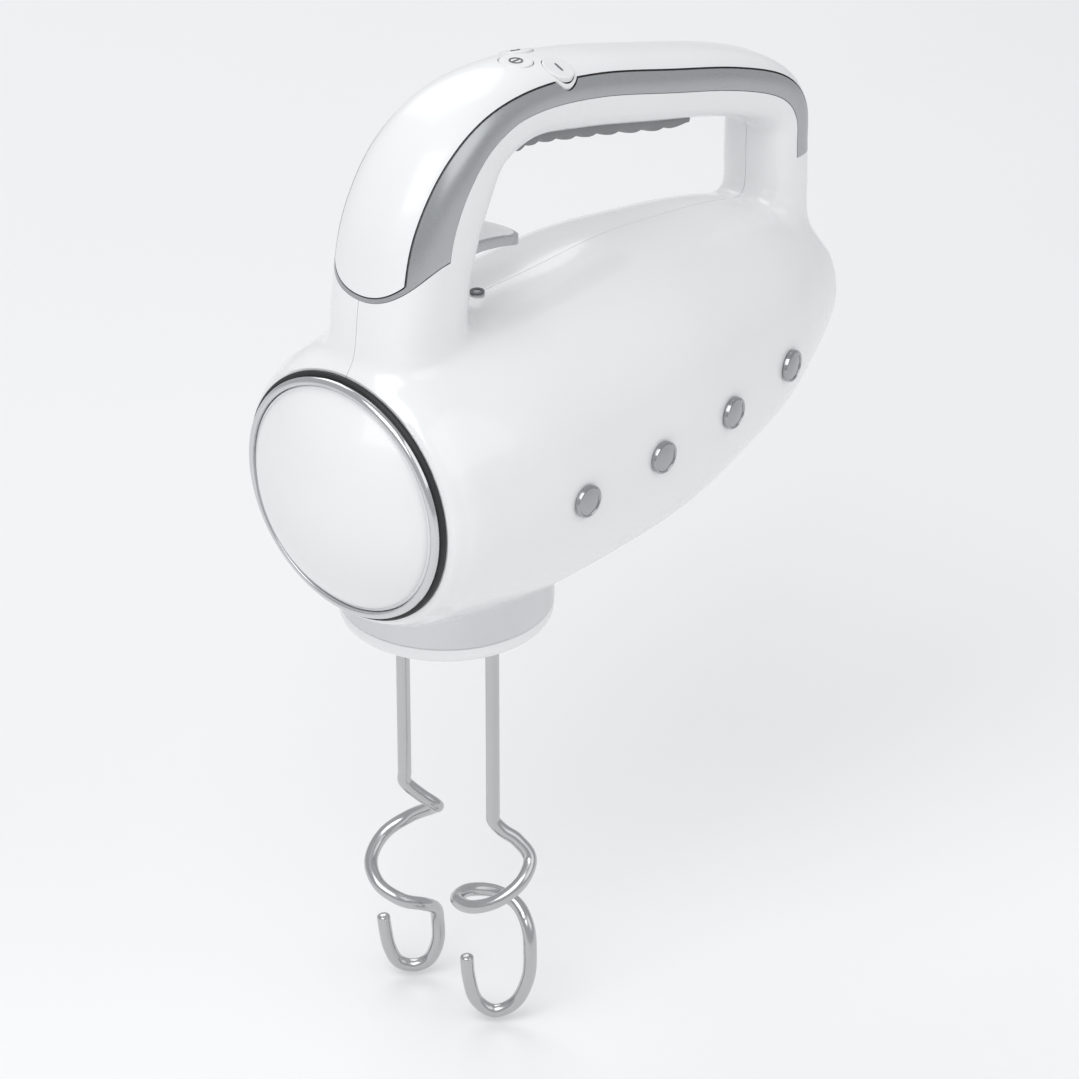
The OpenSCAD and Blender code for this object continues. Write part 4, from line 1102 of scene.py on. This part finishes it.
# ---- Lever ------------------------------------------------------------------------------------
@dataclass
class Lever:
    """The finger part of the eject lever, softened from its own node."""

    softness: float = 0.5

    def build(self) -> None:
        """Builds and dresses the lever and its insert."""
        for node, slot in (("eject_lever", "lever_silver"), ("lever_insert", "white_panel")):
            piece = Bench.copy(frame["nodes"][node], node + "_form")
            Bench.close(piece)
            Bench.soften(piece, self.softness, 3, 50)
            dress(Bench.finish(piece, 30), slot, "lever", node)


# ---- Hooks -----------------------------------------------------------------------------------
@dataclass
class Hook:
    """One wire dough hook."""

    side: Side
    rows: list[list[float]]
    wire: float = 5.0
    length: float = 168.0
    reach: float = 13.4
    insert: float = 40.0
    turn: float = -48.0

    def line(self) -> list[Vector]:
        """Returns the wire's centre line."""
        low = self.length - self.wire / 2
        c, s = math.cos(math.radians(self.turn)), math.sin(math.radians(self.turn))
        bend = sampled([[self.reach * r[0], self.reach * r[1], -low * r[2]] for r in self.rows], 9)
        shank = [[0.0, 0.0, mix(self.insert, bend[0][2], k / 12)] for k in range(12)]
        y = self.side.value * SPINDLE_Y
        return [Vector((u * c - v * s, u * s + v * c + y, z)) for u, v, z in shank + bend]

    def build(self) -> None:
        """Builds and dresses the hook."""
        line = self.line()
        rings: list[Ring] = []
        last = len(line) - 1
        across = Vector((1, 0, 0))
        for i, p in enumerate(line):
            t = (line[min(last, i + 1)] - line[max(0, i - 1)]).normalized()
            across = (across - t * across.dot(t)).normalized()
            up = t.cross(across)
            stops = [(0.0, 1.0)]
            if i in (0, last):
                sign = 1 if i == last else -1
                stops = [(sign * self.wire * 0.25 * math.sin(a), math.cos(a)) for a in
                         (math.pi / 2 * k / 5 for k in range(6))]
                stops = stops if i == last else list(reversed(stops))
            for along, size in stops:
                r = self.wire / 2 * size
                rings.append([tuple(p + t * along + across * (r * math.cos(a)) + up * (r * math.sin(a)))
                              for a in (2 * math.pi * k / 20 for k in range(20))])
        word = self.side.name.lower()
        hook = Bench.finish(Bench.sheet(f"{word}_hook_wire", rings), 60)
        dress(hook, "hook_steel", f"{word}_hook", f"hook_{word}")


LEFT_ROWS = [
    [0, 0, 0.48], [0.02, 0, 0.505], [0.42, 0.04, 0.54], [0.84, 0.12, 0.572], [0.78, 0.45, 0.595],
    [0.1, 0.93, 0.645], [-0.62, 0.7, 0.68], [-0.97, 0.05, 0.715], [-0.74, -0.62, 0.745], [-0.1, -0.93, 0.77],
    [0.5, -0.68, 0.795], [0.8, -0.25, 0.83], [0.86, 0, 0.875], [0.86, 0, 0.93], [0.64, 0, 0.98],
    [0.22, 0, 1], [-0.25, 0, 0.99], [-0.5, 0, 0.95], [-0.6, 0, 0.905], [-0.65, 0, 0.868],
]
RIGHT_ROWS = [
    [0, 0, 0.47], [0.02, 0, 0.49], [0.28, -0.02, 0.515], [0.66, -0.06, 0.538], [1, -0.22, 0.578],
    [0.76, -0.74, 0.612], [0.1, -1, 0.648], [-0.62, -0.78, 0.675], [-1, 0, 0.697], [-0.7, 0.7, 0.712],
    [0, 0.95, 0.728], [0.62, 0.74, 0.75], [0.93, 0.25, 0.783], [1, 0, 0.84], [0.94, 0, 0.91],
    [0.6, 0, 0.975], [0, 0, 1], [-0.5, 0, 0.968], [-0.69, 0, 0.908], [-0.74, 0, 0.855],
]


# ---- Carried-over nodes and the studio ----------------------------------------------------------
@dataclass
class Workings:
    """The nodes that keep their own shapes and get the finish of their slot."""

    def build(self) -> None:
        """Dresses every node."""
        slots = {row["node"]: row["material_slot"] for row in frame["record"]["subparts"]}
        for node, piece in frame["nodes"].items():
            material = Paint.get(slots[node])
            for slot in piece.material_slots:
                slot.material = material
        LOG.info("workings: %d nodes dressed", len(slots))


@dataclass
class Studio:
    """Floor, soft lights and camera."""

    azimuth: float = -48.0
    elevation: float = 30.5
    distance: float = 1.86
    width: float = 0.38536
    target: Point = (0.0315, -0.0163, 0.0212)
    floor_z: float = -0.1705

    def direction(self, azimuth: float, elevation: float) -> Vector:
        """Returns the direction from the object towards a place round it."""
        a, e = math.radians(azimuth), math.radians(elevation)
        return Vector((math.sin(a) * math.cos(e), -math.cos(a) * math.cos(e), math.sin(e)))

    def camera(self) -> None:
        """Sets up the camera."""
        data = bpy.data.cameras.new("camera")
        data.sensor_width = 36.0
        data.lens = 36.0 * self.distance / self.width
        camera = bpy.data.objects.new("camera", data)
        bpy.context.collection.objects.link(camera)
        away = self.direction(self.azimuth, self.elevation)
        camera.location = Vector(self.target) + away * self.distance
        camera.rotation_euler = (-away).to_track_quat("-Z", "Y").to_euler()
        bpy.context.scene.camera = camera

    def lamp(self, name: str, azimuth: float, elevation: float, distance: float, size: float,
             power: float) -> None:
        """Adds a square soft light that faces the object.

        Args:
            name: Its name.
            azimuth: Where it stands round the object, in degrees.
            elevation: How high it stands, in degrees.
            distance: How far away it is, in metres.
            size: Its side, in metres.
            power: Its power, in watts.
        """
        data = bpy.data.lights.new(name, "AREA")
        data.shape = "SQUARE"
        data.size = size
        data.energy = power
        lamp = bpy.data.objects.new(name, data)
        bpy.context.collection.objects.link(lamp)
        away = self.direction(azimuth, elevation)
        lamp.location = Vector((0.06, 0, 0.06)) + away * distance
        lamp.rotation_euler = (-away).to_track_quat("-Z", "Y").to_euler()

    def build(self) -> None:
        """Builds the studio."""
        self.camera()
        Bench.clear()
        bpy.ops.mesh.primitive_plane_add(size=14, location=(0, 0, self.floor_z))
        floor = bpy.context.object
        floor.name = "floor"
        g = Graph("floor_paper")
        g.set(Base_Color=g.blend(g.noise(3, 2), (0.9, 0.9, 0.9), (0.93, 0.93, 0.93)), Roughness=0.9)
        floor.data.materials.append(g.material)
        self.lamp("key", -75, 50, 1.5, 1.1, 10)
        self.lamp("fill", 10, 35, 1.7, 1.2, 3.4)
        self.lamp("back", 150, 45, 1.8, 1.2, 7)
        world = bpy.data.worlds.new("studio")
        world.use_nodes = True
        world.node_tree.nodes["Background"].inputs[0].default_value = (0.93, 0.95, 0.97, 1)
        world.node_tree.nodes["Background"].inputs[1].default_value = 0.62
        bpy.context.scene.world = world
        bpy.context.scene.view_settings.view_transform = "Standard"
        bpy.context.scene.view_settings.look = "None"


def main() -> None:
    """Builds the mixer piece by piece."""
    logging.basicConfig(level=logging.INFO, format="%(message)s")
    housing = Housing()
    for part in (Workings(), housing, HandleTrim(), FingerGrip(), Nose(), Collar(), Studs(housing),
                 Buttons(), Lever(), Hook(Side.LEFT, LEFT_ROWS), Hook(Side.RIGHT, RIGHT_ROWS), Studio()):
        LOG.info("building %s", type(part).__name__)
        part.build()


if __name__ == "__main__":
    main()
